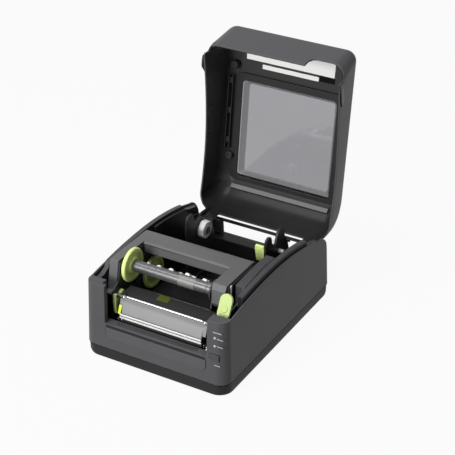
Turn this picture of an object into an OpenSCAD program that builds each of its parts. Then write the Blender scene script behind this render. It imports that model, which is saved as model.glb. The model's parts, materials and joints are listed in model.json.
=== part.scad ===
// Desktop thermal-transfer label printer, four-inch class, lid open.
// Millimetres, Z up, the front faces -Y, the origin is the centre of the footprint on the table.

/* [Housing] */
// Width of the housing at its lower edge
body_w = 200; // [196:1:220]
// Depth of the housing at its lower edge
body_d = 280; // [276:1:310]
// Radius of the upright corners
corner_r = 15; // [12:0.5:22]
// Thickness of the moulded walls
wall = 2.5; // [1.8:0.1:3]
// How far each side draws in from the lower edge to the rim
body_draft = 2.6; // [0.5:0.1:4]
// Extra forward lean of the rear wall at the rim
rear_lean = 5; // [0:0.5:8]
// Height of the rim at the front columns
rim_front_z = 103; // [98:1:108]
// Height of the rim at its highest point
rim_peak_z = 111.5; // [108:0.5:116]
// Height of the rim beside the lid hinge
rim_rear_z = 93; // [88:1:98]
// Height of the rear wall between the rear corners
rear_edge_z = 66; // [62:1:68]

/* [Base tray] */
// Height of the rubber feet below the tray
foot_h = 1.5; // [1:0.5:4]
// Diameter of the rubber feet
foot_dia = 18; // [10:1:22]
// Height of the upper edge of the tray above the table
tray_top_z = 16; // [15:0.5:20]
// Groove between the tray and the housing
seam = 0.8; // [0.4:0.1:2]
// How far the bottom of the tray stands in from the housing
tray_inset = 1; // [0.5:0.5:4]
// Corner radius of the bottom of the tray
tray_bottom_r = 18; // [16:1:30]

/* [Label exit] */
// Left side of the label exit, from the middle
exit_left = 69; // [66:1:74]
// Right side of the label exit, from the middle
exit_right = 73; // [72.5:0.5:76]
// Height of the shelf below the label exit
shelf_z = 52; // [46:1:53]
// Depth of the front columns behind the front face
column_depth = 18; // [12:1:19]
// Height of the removable front panel
front_panel_h = 16; // [10:1:18]
// Height of the lower edge of the front panel
front_panel_z = 31; // [22:1:32]

/* [Controls] */
// Width of the feed button
feed_w = 13; // [8:0.5:14]
// Height of the feed button
feed_h = 8; // [5:0.5:12]
// Height of the middle of the feed button
feed_z = 55; // [48:1:60]
// Travel of the feed button
feed_travel = 0.8; // [0.4:0.1:1.5]
// Diameter of the light pipes
lamp_dia = 3; // [2:0.5:4]
// Height of the lower light pipe
lamp_z = 71; // [68:1:76]
// Distance between the two light pipes
lamp_pitch = 11; // [6:1:12]

/* [Lid] */
// Angle of the open lid from closed
lid_open = 92; // [90:1:94]
// Distance of the lid hinge behind the middle
lid_hinge_y = 103; // [101:1:105]
// Height of the lid hinge
lid_hinge_z = 71; // [70:1:73]
// Highest point of the closed lid
lid_top_z = 171; // [164:1:180]
// Fall of the roof from the front edge to the rear bend
lid_fall = 13; // [6:1:18]
// Radius of the roof edges at the sides and the rear
lid_edge_r = 24; // [16:1:30]
// Radius of the roof's front edge
lid_front_r = 14; // [10:1:20]
// How far the lid's front wall leans out from the rim to the roof
lid_front_out = 9; // [2:1:12]
// Outer radius of the bend at the rear of the roof
lid_bend_r = 47; // [34:1:50]
// How far the lid walls draw in from the rim to the roof
lid_draft = 5; // [2:0.5:8]
// Width of the window
window_w = 142; // [110:1:146]
// Length of the window
window_l = 140; // [110:1:142]
// Diameter of the lid hinge pins
lid_pin_dia = 6; // [4:0.5:8]

/* [Ribbon module] */
// Distance of the module hinge in front of the middle
module_hinge_y = 22; // [20:0.5:24]
// Height of the module hinge
module_hinge_z = 106; // [104:0.5:108]
// Radius of the round rear edge of the module cover
module_round_r = 12; // [10:0.5:13]
// Opening angle of the module
module_swing = 65; // [40:1:70]
// Diameter of the module hinge pins
module_pin_dia = 6; // [4:0.5:7]

/* [Ribbon spindles] */
// Diameter of the hand wheels
wheel_dia = 44; // [34:1:45]
// Thickness of the hand wheels
wheel_t = 5; // [4:0.5:5.5]
// Ribs round each hand wheel
wheel_ribs = 24; // [12:1:30]
// Diameter of the spindle tubes
spindle_dia = 15; // [12:0.5:17]
// Length of the spindle tubes
spindle_l = 108; // [100:1:109]
// Distance of the rewind spindle in front of the middle
rewind_y = 78; // [76:0.5:80]
// Height of the rewind spindle
rewind_z = 103.5; // [102:0.5:105]
// Distance of the supply spindle in front of the middle
supply_y = 31; // [30:0.5:33]
// Height of the supply spindle
supply_z = 69; // [67:0.5:72]

/* [Platen and gears] */
// Diameter of the platen roller
platen_dia = 16; // [12:0.5:17]
// Length of the rubber of the platen
platen_l = 112; // [104:1:114]
// Diameter of the platen shaft
platen_shaft_dia = 6; // [5:0.5:7]
// Distance of the platen in front of the middle
platen_y = 114; // [112:0.5:115]
// Height of the platen axis
platen_z = 46.5; // [45:0.5:47]
// Module of all gear teeth
gear_m = 1; // [0.9:0.05:1]
// Teeth of the platen gear
platen_teeth = 20; // [18:1:22]
// Teeth of the idler gear
idler_teeth = 26; // [24:1:28]
// Teeth of the motor pinion
pinion_teeth = 14; // [12:1:15]
// Teeth of the rewind gear
rewind_teeth = 14; // [12:1:15]
// Teeth of the ribbon idler gear
ribbon_idler_teeth = 20; // [18:1:22]

/* [Media holders] */
// Widest label roll between the two holders
media_w = 110; // [104:1:112]
// Narrowest label roll between the two holders
media_min_w = 26; // [24:1:40]
// Distance of the roll axis behind the middle
roll_y = 68; // [66:1:70]
// Height of the roll axis
roll_z = 86; // [84:1:88]
// Diameter of the roll hubs
hub_dia = 25; // [20:0.5:28]
// Thickness of the holder plates
holder_t = 3.5; // [3:0.5:5]
// Teeth of the holder pinion
holder_pinion_teeth = 16; // [14:1:18]
// Diameter of the guide rods
guide_rod_dia = 4; // [3:0.5:5]

/* [Hidden] */

$fn = 48;
block_fn = 48;
round_fn = 24;
eps = 0.01;
big = 400;
charcoal = [0.16, 0.165, 0.175];
dark = [0.1, 0.1, 0.105];
graphite = [0.25, 0.255, 0.265];
mid_grey = [0.5, 0.51, 0.53];
pale_grey = [0.72, 0.73, 0.74];
lime = [0.62, 0.8, 0.12];
steel = [0.75, 0.76, 0.78];
brass = [0.8, 0.66, 0.3];

// Clearances
shaft_fit = 0.05;
press_fit = 0.02;
seat_gap = 0.3;
part_gap = 0.4;
swing_gap = 1.2;

// Heights and depths shared by the housing, the chassis and the lid
half_w = body_w / 2;
half_d = body_d / 2;
housing_z = tray_top_z + seam;
shell_top_z = rim_peak_z + 1;
rim_front_y = -half_d + 18;
rim_peak_y = -15;
rim_rear_y = lid_hinge_y + 4;
rear_corner_y = half_d - 12;
rear_corner_z = rear_edge_z + 1;
ledge_rise = 6;
lid_gap = 0.6;

// Height of the rim above the table at a depth y: two parabolas that meet at the highest point
function rim(y) =
    y < rim_front_y ? rim_front_z
    : y < rim_peak_y
        ? rim_peak_z - (rim_peak_z - rim_front_z) * pow((rim_peak_y - y) / (rim_peak_y - rim_front_y), 2)
        : rim_peak_z - (rim_peak_z - rim_rear_z) * pow((y - rim_peak_y) / (rim_rear_y - rim_peak_y), 2);

// Rim line from y0 to y1, raised by up
function rim_line(y0, y1, up, steps = 8) =
    [for (i = [0 : steps]) let (y = y0 + (y1 - y0) * i / steps) [y, rim(y) + up]];

// Quarter curve down to the rear edge, moved out by grow
function rear_curve(grow, steps = 5) =
    [for (i = [0 : steps]) let (a = 90 * i / steps)
        [rim_rear_y + (rear_corner_y - rim_rear_y + grow) * sin(a),
         rear_corner_z + (rim_rear_z - rear_corner_z + grow) * cos(a)]];

module along_x(x0, x1) {
    translate([x0, 0, 0]) rotate([90, 0, 90]) linear_extrude(x1 - x0) children();
}

module along_y(y0, y1) {
    translate([0, y1, 0]) rotate([90, 0, 0]) linear_extrude(y1 - y0) children();
}

module pin_x(x0, x1, y, z, r) {
    translate([x0, y, z]) rotate([0, 90, 0]) cylinder(h = x1 - x0, r = r);
}

module slab(x0, x1, y0, y1, z0, z1) {
    translate([x0, y0, z0]) cube([x1 - x0, y1 - y0, z1 - z0]);
}

module both_sides() {
    children();
    mirror([1, 0, 0]) children();
}

module round_rect(w, h, r) {
    for (sx = [-1, 1], sy = [-1, 1]) translate([sx * (w / 2 - r), sy * (h / 2 - r)]) circle(r);
    square([w, h - 2 * r], center = true);
    square([w - 2 * r, h], center = true);
}

// ---- Base tray ----

tray_floor_z = foot_h + wall;
tray_wall = wall;
screw_x = half_w - 22;
screw_y = half_d - 26;
foot_x = half_w - 24;
foot_y = half_d - 44;
screw_head_r = 3.4;
board_post_r = 3;
board_z = 8;
board_w = 120;
board_d = 96;
board_y = 68;
tray_vents = 9;

module body_plan(inset, r) {
    for (sx = [-1, 1], sy = [-1, 1])
        translate([sx * (half_w - inset - r), sy * (half_d - inset - r), 0])
            cylinder(h = eps, r = r, $fn = block_fn);
}

module base_tray() color(charcoal) {
    difference() {
        hull() {
            translate([0, 0, foot_h]) body_plan(tray_inset, tray_bottom_r);
            translate([0, 0, foot_h + 4]) body_plan(tray_inset / 2, (tray_bottom_r + corner_r) / 2);
            translate([0, 0, tray_top_z - eps]) body_plan(seam, corner_r);
        }
        hull() {
            translate([0, 0, tray_floor_z]) body_plan(tray_inset + tray_wall, tray_bottom_r - tray_wall);
            translate([0, 0, tray_top_z + eps]) body_plan(seam + tray_wall, corner_r - tray_wall);
        }
        for (i = [0 : tray_vents - 1])
            slab(-30, 30, -40 - 8 * i, -36 - 8 * i, 0, tray_floor_z + 1);
        both_sides() for (sy = [-1, 1]) translate([screw_x, sy * screw_y, 0]) {
            cylinder(h = tray_floor_z + 1, r = 1.8);
            cylinder(h = foot_h + 1.2, r = screw_head_r + 0.4);
        }
        both_sides() for (sy = [-1, 1]) translate([foot_x, sy * foot_y, 0])
            cylinder(h = foot_h + 1, r = foot_dia / 2 + 0.2);
    }
    both_sides() for (sy = [-1, 1])
        translate([board_w / 2 - 6, board_y + sy * (board_d / 2 - 6), tray_floor_z - 0.5])
            cylinder(h = board_z - tray_floor_z + 0.5, r = board_post_r);
}

module rubber_feet() color(dark) {
    both_sides() for (sy = [-1, 1]) translate([foot_x, sy * foot_y, 0])
        rotate_extrude() polygon([
            [0, 0], [foot_dia / 2 - 1, 0], [foot_dia / 2, 0.6], [foot_dia / 2, foot_h + 0.8], [0, foot_h + 0.8]
        ]);
}

module tray_screws() color(steel) {
    both_sides() for (sy = [-1, 1]) translate([screw_x, sy * screw_y, foot_h + 0.2]) difference() {
        union() {
            cylinder(h = 0.9, r = screw_head_r);
            cylinder(h = tray_top_z - foot_h - 3, r = 1.5);
        }
        for (a = [0, 90]) rotate(a) translate([-1.6, -0.35, -eps]) cube([3.2, 0.7, 0.6]);
    }
}

// ---- Housing ----

cap_z = rim_front_z;
shelf_depth = 13.5;
panel_gap = 0.35;
panel_t = 2;
panel_corner_r = 8;
panel_w = exit_left + exit_right - 2;
panel_x = (exit_right - exit_left) / 2;
feed_x = exit_right + 10.5;
lamp_x = feed_x + 0.5;
deck_y = 120;
deck_z = 72;
deck_half_w = 78;
deck_t = 1.6;
step_x = exit_left + 6.5;
step_y = -half_d + 8.5;
slot_half_w = 61;
slot_z0 = 45;
slot_z1 = rear_edge_z - 3.5;
deck_strip = 2.5;
io_w = 128;
io_t = 2;
io_y = half_d - rear_lean - 1;
io_z0 = housing_z + 4;
io_z1 = slot_z0 - 5;
button_board_y = -half_d + 10;
button_board_x0 = exit_right + wall + 2.5;

// Rounded block of the body, drawn in towards the top, inset all round
module drafted_block(inset) {
    r = corner_r - inset;
    hull() for (sx = [-1, 1], sy = [-1, 1]) {
        translate([sx * (half_w - corner_r), sy * (half_d - corner_r), housing_z - inset])
            cylinder(h = eps, r = r, $fn = block_fn);
        translate([sx * (half_w - corner_r), sy * (half_d - corner_r) - (sy > 0 ? rear_lean : 0), shell_top_z + inset])
            cylinder(h = eps, r = r - body_draft, $fn = block_fn);
    }
}

// Everything below the rim, seen from the side; up raises the line
module below_rim(up = 0) {
    along_x(-half_w - 1, half_w + 1) polygon(concat(
        [[-half_d - 1, 0], [-half_d - 1, rim_front_z + up]],
        rim_line(rim_front_y, rim_rear_y, up, 16),
        rear_curve(up),
        [[half_d + 1, rear_corner_z], [half_d + 1, 0]]
    ));
}

module front_panel_outline(grow) {
    r = panel_corner_r + grow;
    translate([panel_x, front_panel_z]) {
        for (sx = [-1, 1]) translate([sx * (panel_w / 2 - panel_corner_r), panel_corner_r]) circle(r);
        translate([-panel_w / 2 + panel_corner_r, -grow]) square([panel_w - 2 * panel_corner_r, front_panel_h + 2 * grow]);
        translate([-panel_w / 2 - grow, panel_corner_r])
            square([panel_w + 2 * grow, front_panel_h - panel_corner_r + grow]);
    }
}

module housing_shell() color(charcoal) {
    difference() {
        intersection() {
            drafted_block(0);
            below_rim();
            union() {
                difference() {
                    slab(-half_w, half_w, -half_d, half_d, housing_z, shell_top_z);
                    drafted_block(wall);
                }
                // Front columns beside the label exit; the left one steps back for the swinging hook
                slab(exit_right, exit_right + wall, -half_d, -half_d + column_depth, housing_z, cap_z);
                slab(exit_right, half_w, -half_d, -half_d + column_depth, cap_z - wall, cap_z);
                slab(-exit_left - wall, -exit_left, -half_d, step_y, housing_z, cap_z);
                slab(-step_x - wall, -exit_left, step_y - wall, step_y, housing_z, cap_z);
                slab(-step_x - wall, -step_x, step_y - wall, -half_d + column_depth, housing_z, cap_z);
                slab(-half_w, -exit_left, -half_d, step_y, cap_z - wall, cap_z);
                slab(-half_w, -step_x, step_y - wall, -half_d + column_depth, cap_z - wall, cap_z);
                // Shelf below the label exit, and the wall behind the front panel
                slab(-exit_left - wall, exit_right + wall, -half_d, -half_d + shelf_depth, shelf_z - wall, shelf_z);
                slab(-exit_left, exit_right, -half_d + panel_t, -half_d + panel_t + wall + 1, housing_z, shelf_z);
                // Sloping deck behind the lid, open over the fan-fold slot
                both_sides() along_x(slot_half_w + 2, deck_half_w) polygon([
                    [deck_y, deck_z], [rear_corner_y, rear_edge_z], [half_d, rear_edge_z],
                    [half_d, rear_edge_z - deck_t], [rear_corner_y, rear_edge_z - deck_t], [deck_y, deck_z - deck_t]
                ]);
                slab(-deck_half_w, deck_half_w, half_d - deck_strip, half_d, rear_edge_z - deck_t, rear_edge_z);
                // Thicker frame round the rear panel
                slab(-io_w / 2 - 4, io_w / 2 + 4, io_y, half_d, housing_z, slot_z0 - 1);
                // Posts of the button board
                for (p = [[button_board_x0 + 2.5, feed_z + 8.5], [half_w - 11, lamp_z + lamp_pitch + 3]])
                    translate([p[0], button_board_y, p[1]]) rotate([90, 0, 0]) cylinder(h = 9, r = 2);
            }
        }
        slab(-exit_left, exit_right, -half_d - 1, -half_d + wall + body_draft + 1, shelf_z, shell_top_z);
        along_y(-half_d - 1, -half_d + panel_t + panel_gap) front_panel_outline(panel_gap);
        // Feed button and light pipes
        slab(feed_x - feed_w / 2 - panel_gap, feed_x + feed_w / 2 + panel_gap, -half_d - 1, -half_d + 2 * wall + 2,
            feed_z - feed_h / 2 - panel_gap, feed_z + feed_h / 2 + panel_gap);
        for (i = [0, 1]) translate([lamp_x, -half_d + 2 * wall, lamp_z + i * lamp_pitch])
            rotate([90, 0, 0]) cylinder(h = 3 * wall, r = lamp_dia / 2 + press_fit);
        // Fan-fold slot and rear panel
        slab(-slot_half_w, slot_half_w, half_d - rear_lean - 2 * wall - 2, half_d + 1, slot_z0, slot_z1);
        slab(-io_w / 2, io_w / 2, half_d - rear_lean - 2 * wall, half_d + 1, io_z0, io_z1);
    }
}

module front_panel() color(charcoal)
    difference() {
        along_y(-half_d + 0.3, -half_d + panel_t + 0.1) front_panel_outline(0);
        slab(panel_x - 9, panel_x + 9, -half_d, -half_d + 0.8,
            front_panel_z + front_panel_h - 1.6, front_panel_z + front_panel_h + 1);
    }

module light_pipes() color(pale_grey)
    for (i = [0, 1]) translate([lamp_x, -half_d + 6.7, lamp_z + i * lamp_pitch]) rotate([90, 0, 0]) {
        cylinder(h = 5.6, r = lamp_dia / 2);
        cylinder(h = 1.2, r = lamp_dia / 2 + 1);
    }

module button_board() color([0.1, 0.32, 0.2]) {
    slab(button_board_x0, half_w - 8, button_board_y, button_board_y + 1.6, feed_z - 8, lamp_z + lamp_pitch + 6);
    slab(feed_x - 3, feed_x + 3, button_board_y - 1.4, button_board_y + eps, feed_z - 3, feed_z + 3);
    for (i = [0, 1]) slab(lamp_x - 1, lamp_x + 1, button_board_y - 1, button_board_y + eps,
        lamp_z + i * lamp_pitch - 1, lamp_z + i * lamp_pitch + 1);
}

module feed_button() color(graphite) {
    slab(feed_x - feed_w / 2, feed_x + feed_w / 2, -half_d + 0.1, -half_d + 5.3,
        feed_z - feed_h / 2, feed_z + feed_h / 2);
    translate([feed_x, button_board_y - 1.4 - feed_travel - 0.15, feed_z]) rotate([90, 0, 0])
        cylinder(h = half_d - 5.3 + button_board_y - 1.4 - feed_travel - 0.15 + 0.1, r = 1.6);
}

// ---- Rear panel and its sockets ----

inlet_x = -46;
rocker_x = -22;
usb_x = 10;
serial_x = 42;
io_mid_z = (io_z0 + io_z1) / 2;
rocker_w = 13;
rocker_h = 19;
rocker_tilt = 7;
rocker_pin_r = 0.9;

module rear_panel() color(dark) {
    rear_plate();
    // Pivot of the power rocker
    pin_x(rocker_x - rocker_w / 2 - eps, rocker_x + rocker_w / 2 + eps, io_y, io_mid_z, rocker_pin_r);
}

module rear_plate() difference() {
    union() {
        slab(-io_w / 2 + part_gap, io_w / 2 - part_gap, io_y - 1, io_y + io_t, io_z0 + part_gap, io_z1 - part_gap);
        slab(-io_w / 2 - 2, io_w / 2 + 2, io_y - 1.6, io_y - 0.05, io_z0 - 2, io_z1 + 2);
    }
    translate([inlet_x, io_y - 3, io_mid_z]) rotate([-90, 0, 0]) cylinder(h = 2 * io_t + 3, r = 5.5);
    slab(rocker_x - rocker_w / 2, rocker_x + rocker_w / 2, io_y - 3, io_y + io_t + 1,
        io_mid_z - rocker_h / 2, io_mid_z + rocker_h / 2);
    slab(usb_x - 6.3, usb_x + 6.3, io_y - 3, io_y + io_t + 1, io_mid_z - 5.7, io_mid_z + 5.7);
    slab(serial_x - 15.6, serial_x + 15.6, io_y - 3, io_y + io_t + 1, io_mid_z - 6.3, io_mid_z + 6.3);
}

module power_inlet() color(dark) translate([inlet_x, 0, io_mid_z]) rotate([-90, 0, 0]) difference() {
    translate([0, 0, io_y - 10]) cylinder(h = 11.5, r = 5.4);
    translate([0, 0, io_y - 8]) difference() {
        cylinder(h = 12, r = 3.2);
        translate([0, 0, -1]) cylinder(h = 8, r = 1);
    }
}

module usb_socket() color(steel) difference() {
    slab(usb_x - 6, usb_x + 6, io_y - 12, io_y + 1.5, io_mid_z - 5.4, io_mid_z + 5.4);
    difference() {
        slab(usb_x - 5, usb_x + 5, io_y - 10, io_y + 3, io_mid_z - 4.4, io_mid_z + 4.4);
        slab(usb_x - 2.8, usb_x + 2.8, io_y - 11, io_y + 1, io_mid_z - 1.6, io_mid_z + 1.6);
    }
}

module serial_socket() color(steel) difference() {
    union() {
        slab(serial_x - 15.3, serial_x + 15.3, io_y - 6, io_y + 0.8, io_mid_z - 6, io_mid_z + 6);
        along_y(io_y, io_y + 4) translate([serial_x, io_mid_z]) polygon([[-9, 4.2], [9, 4.2], [7.6, -4.2], [-7.6, -4.2]]);
    }
    along_y(io_y + 1, io_y + 5) translate([serial_x, io_mid_z]) polygon([[-8.2, 3.4], [8.2, 3.4], [7, -3.4], [-7, -3.4]]);
    for (i = [0 : 8]) translate([serial_x + (i < 5 ? 2.7 * (i - 2) : 2.7 * (i - 6.5)), io_y, io_mid_z + (i < 5 ? 1.4 : -1.4)])
        rotate([-90, 0, 0]) cylinder(h = 3, r = 0.6);
    for (sx = [-1, 1]) translate([serial_x + sx * 12.5, io_y - 1, io_mid_z]) rotate([-90, 0, 0]) cylinder(h = 3, r = 1.2);
}

module power_rocker() color(dark) translate([rocker_x, io_y, io_mid_z]) rotate([rocker_tilt, 0, 0])
    along_x(-rocker_w / 2 + part_gap, rocker_w / 2 - part_gap) difference() {
        polygon([[-5, -3], [1.4, -rocker_h / 2 + 1.2], [3.2, -rocker_h / 2 + 1.4], [1.8, 0],
            [3.2, rocker_h / 2 - 1.4], [1.4, rocker_h / 2 - 1.2], [-5, 3]]);
        circle(rocker_pin_r + shaft_fit);
    }

// ---- Chassis ----

chassis_half_w = half_w - 7;
side_t = 6.5;
side_in = chassis_half_w - side_t;
bay_half_w = side_in - wall;
floor_z = tray_top_z;
floor_t = 2.5;
bay_y0 = 4.5;
bay_y1 = half_d - 12;
chassis_y0 = -half_d + 20;
ledge_y0 = -97;
ledge_y1 = 74;
side_front_z = 100;
cheek_x = platen_l / 2 + 2.5;
cheek_t = 2.5;
cheek_top_z = platen_z + 7.5;
guide_z = 47;
guide_t = 2.5;
bulkhead_z = 36;
ledge_in = exit_right + 0.5;
ledge_flat_x = 84;
pocket_z = 84;
lever_room_y = -90;
bay_back_y = half_d - 21.5;
under_deck_z = deck_z - deck_t - 1;
hinge_y = lid_hinge_y;
mod_y = -module_hinge_y;
mod_z = module_hinge_z;
hook_in = 64;
hook_pin_y = -104.4;
hook_pin_z = 60.5;
hook_pin_r = 1.5;
upright_x = step_x;
lid_pin_r = lid_pin_dia / 2;
mod_pin_r = module_pin_dia / 2;
shaft_r = platen_shaft_dia / 2;
bush_r = shaft_r + 2;
motor_size = 28;
motor_y = -84;
motor_z = floor_z + 1.5 + motor_size / 2;
motor_shaft_r = 2.5;
gear_x = cheek_x + cheek_t + 2;
gear_w = 4;
platen_gear_pos = [-platen_y, platen_z];
pinion_pos = [motor_y, motor_z];
platen_gear_r = gear_m * platen_teeth / 2;
idler_r = gear_m * idler_teeth / 2;
pinion_r = gear_m * pinion_teeth / 2;
train = pinion_pos - platen_gear_pos;
train_l = norm(train);
train_a = (pow(platen_gear_r + idler_r, 2) - pow(idler_r + pinion_r, 2) + train_l * train_l) / (2 * train_l);
train_h = sqrt(pow(platen_gear_r + idler_r, 2) - train_a * train_a);
idler_pos = platen_gear_pos + train * train_a / train_l + [train[1], -train[0]] * train_h / train_l;
sensor_y = -60;
sensor_rod_r = 1.5;
sensor_rod_z = guide_z - 5;
rod_r = guide_rod_dia / 2;
rod_z = floor_z + 4;
rod_ys = [roll_y - 27, roll_y + 27];
holder_pinion_r = gear_m * holder_pinion_teeth / 2;
rack_z0 = floor_z + part_gap;
rack_z1 = rack_z0 + 3.6;

module gear_outline(teeth) {
    r = gear_m * teeth / 2;
    pitch_a = 360 / teeth;
    half = function (w, rr) w * gear_m / rr * 180 / PI;
    polygon([for (i = [0 : teeth - 1]) each let (a = i * pitch_a) [
        let (rr = r - 1.2 * gear_m) [rr * cos(a - half(1.13, rr)), rr * sin(a - half(1.13, rr))],
        [r * cos(a - half(0.66, r)), r * sin(a - half(0.66, r))],
        let (rr = r + 0.9 * gear_m) [rr * cos(a - half(0.33, rr)), rr * sin(a - half(0.33, rr))],
        let (rr = r + 0.9 * gear_m) [rr * cos(a + half(0.33, rr)), rr * sin(a + half(0.33, rr))],
        [r * cos(a + half(0.66, r)), r * sin(a + half(0.66, r))],
        let (rr = r - 1.2 * gear_m) [rr * cos(a + half(1.13, rr)), rr * sin(a + half(1.13, rr))]
    ]]);
}

// Turn of gear B that meshes with gear A; delta is the direction from A to B
function mesh_turn(delta, turn_a, teeth_a, teeth_b) =
    delta + 180 - (0.5 - (delta - turn_a) * teeth_a / 360) * 360 / teeth_b;

module gear_x_axis(x0, x1, pos, turn, teeth, bore) {
    translate([0, pos[0], pos[1]]) along_x(x0, x1) difference() {
        rotate(turn) gear_outline(teeth);
        circle(bore);
    }
}

module side_profile(top) {
    polygon(concat(
        [[chassis_y0, floor_z - floor_t], [chassis_y0, side_front_z + top - ledge_rise],
         [chassis_y0 + 9, side_front_z + top - ledge_rise + 1], [ledge_y0 - 5, side_front_z + top - ledge_rise + 5]],
        rim_line(ledge_y0, ledge_y1, top, 10),
        [[ledge_y1 + 4, rim(ledge_y1 + 4) - 2], [hinge_y + 4, rim_rear_z - 2], [deck_y - 1, under_deck_z],
         [bay_y1, rear_edge_z - deck_t - 1], [bay_y1, floor_z - floor_t]]
    ));
}

module chassis() color(dark) {
    difference() {
        union() {
            // Side boxes, with their ledges above the rim
            both_sides() along_x(side_in, chassis_half_w) side_profile(ledge_rise);
            // Bay walls, floor, bulkhead and rear wall of the bay
            both_sides() along_x(bay_half_w, side_in) polygon(concat(
                [[bay_y0 - wall, floor_z - floor_t]], rim_line(bay_y0 - wall, ledge_y1, 1, 5),
                [[hinge_y - 12, rim_rear_z - 8], [hinge_y + 8, lid_hinge_z + 8], [deck_y - 1, under_deck_z],
                 [bay_y1, rear_edge_z - deck_t - 1], [bay_y1, floor_z - floor_t]]
            ));
            slab(-side_in, side_in, chassis_y0 - 4, bay_y1, floor_z - floor_t, floor_z);
            slab(-side_in, side_in, bay_y0 - wall, bay_y0, floor_z - eps, bulkhead_z);
            slab(-bay_half_w, bay_half_w, bay_back_y, bay_back_y + wall, floor_z - eps, slot_z0 - 0.5);
            slab(-bay_half_w, bay_half_w, bay_back_y, io_y - 1.5, slot_z0 - 2.5, slot_z0 - 0.5);
            both_sides() slab(deck_half_w - 1, side_in, bay_back_y - 20, bay_y1, slot_z0 + 6, slot_z0 + 8.5);
            // Cheeks of the platen and the paper path
            both_sides() along_x(cheek_x, cheek_x + cheek_t) polygon([
                [chassis_y0 - 4, floor_z - eps], [chassis_y0 - 4, 38], [-platen_y - 9, cheek_top_z - 6],
                [-platen_y - 7, cheek_top_z], [-platen_y + 8, cheek_top_z], [-platen_y + 10, guide_z],
                [bay_y0 - wall, guide_z], [bay_y0 - wall, floor_z - eps]
            ]);
            slab(-cheek_x, cheek_x, chassis_y0 - 4, chassis_y0 - 2, floor_z - eps, bulkhead_z);
            // Upright of the catch pin
            along_x(-upright_x - wall, -upright_x) polygon([
                [chassis_y0 + 2, floor_z - eps], [hook_pin_y - 5, hook_pin_z + 3], [hook_pin_y + 5, hook_pin_z + 3],
                [chassis_y0 + 28, floor_z - eps]
            ]);
            // Right ledge beside the module, hollow below
            intersection() {
                along_y(-72, bay_y0) polygon([
                    [ledge_in, pocket_z], [ledge_in, shell_top_z + 10], [ledge_flat_x, shell_top_z + 10],
                    [ledge_flat_x, rim_peak_z + ledge_rise], [chassis_half_w, rim_peak_z - 3],
                    [chassis_half_w, pocket_z]
                ]);
                along_x(ledge_in - 1, chassis_half_w + 1) polygon(concat(
                    [[-73, 0], [-73, rim(-73) + ledge_rise]], rim_line(-66, bay_y0 + 1, ledge_rise, 6), [[bay_y0 + 1, 0]]
                ));
            }
            // Right front corner: a slope down to the pocket below the release lever
            along_x(ledge_in + 10, side_in + eps) polygon([
                [-76, pocket_z], [-72 + eps, pocket_z], [-72 + eps, rim(-72) + ledge_rise - 1], [-76, rim(-76) + 2],
                [-84, side_front_z + 2], [-100, side_front_z - 1], [-100, side_front_z - 3.5], [-84, side_front_z - 1.5]
            ]);
            slab(ledge_in + 10, side_in + eps, chassis_y0 + 0.5, -72, pocket_z, pocket_z + wall);
            // Stub of the idler gear and of the holder pinion
            pin_x(cheek_x + cheek_t - eps, gear_x + gear_w + 1, idler_pos[0], idler_pos[1], 3);
            translate([0, roll_y, floor_z - eps]) cylinder(h = rack_z1 - floor_z + 0.6, r = 3);
            // Feet that stand on the tray
            both_sides() for (sy = [-1, 1]) translate([screw_x, sy * screw_y, tray_floor_z])
                cylinder(h = floor_z - floor_t - tray_floor_z + eps, r = 4.5);
        }
        // Hollow of the right ledge
        intersection() {
            along_y(-72 + wall, bay_y0 - wall) polygon([
                [ledge_in + wall, 0], [ledge_in + wall, shell_top_z + 10], [ledge_flat_x - 1, shell_top_z + 10],
                [ledge_flat_x - 1, rim_peak_z + ledge_rise - wall], [side_in, rim_peak_z - 3 + wall], [side_in, 0]
            ]);
            along_x(ledge_in, side_in) polygon(concat(
                [[-73, pocket_z - 1]], rim_line(-72, bay_y0, ledge_rise - wall, 6), [[bay_y0, pocket_z - 1]]
            ));
        }
        // Hollow of the side boxes, open below
        both_sides() along_x(side_in + wall, chassis_half_w - wall + 0.5) polygon(concat(
            [[chassis_y0 + wall, floor_z - floor_t - 1], [chassis_y0 + wall, pocket_z], [lever_room_y + wall, pocket_z]],
            rim_line(lever_room_y + wall + 1, -60, 0, 4), [[-60, floor_z - floor_t - 1]]
        ));
        // Bores of the pins, rods, bushes and the motor
        both_sides() pin_x(bay_half_w - 1, lid_pin_end, hinge_y, lid_hinge_z, lid_pin_r + press_fit);
        pin_x(-mod_pin_end, mod_pin_end, mod_y, mod_z, mod_pin_r + press_fit);
        pin_x(-cheek_x - cheek_t - 1, cheek_x + cheek_t + 1, -platen_y, platen_z, bush_r + press_fit);
        pin_x(-cheek_x - cheek_t - 1, cheek_x + cheek_t + 1, sensor_y, sensor_rod_z, sensor_rod_r + press_fit);
        for (y = rod_ys) pin_x(-side_in, side_in, y, rod_z, rod_r + press_fit);
        // Room for the release lever beside the right box
        slab(side_in - 1, chassis_half_w + 1, chassis_y0 - 1, lever_room_y, pocket_z + wall, shell_top_z + 10);
        pin_x(-upright_x - wall - 1, -upright_x + 1, hook_pin_y, hook_pin_z, hook_pin_r + press_fit);
        pin_x(cheek_x - 1, cheek_x + cheek_t + 1, motor_y, motor_z, motor_size / 2 - 2.5);
        slab(cheek_x + cheek_t, gear_x + gear_w + 2, idler_pos[0] - idler_r - 3, idler_pos[0] + idler_r + 3,
            0, floor_z + 1);
        both_sides() for (sy = [-1, 1]) translate([screw_x, sy * screw_y, 0])
            cylinder(h = floor_z + 1, r = 1.5 + press_fit);
    }
}

lid_pin_end = chassis_half_w - 1;
mod_pin_end = chassis_half_w - 1;

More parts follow.
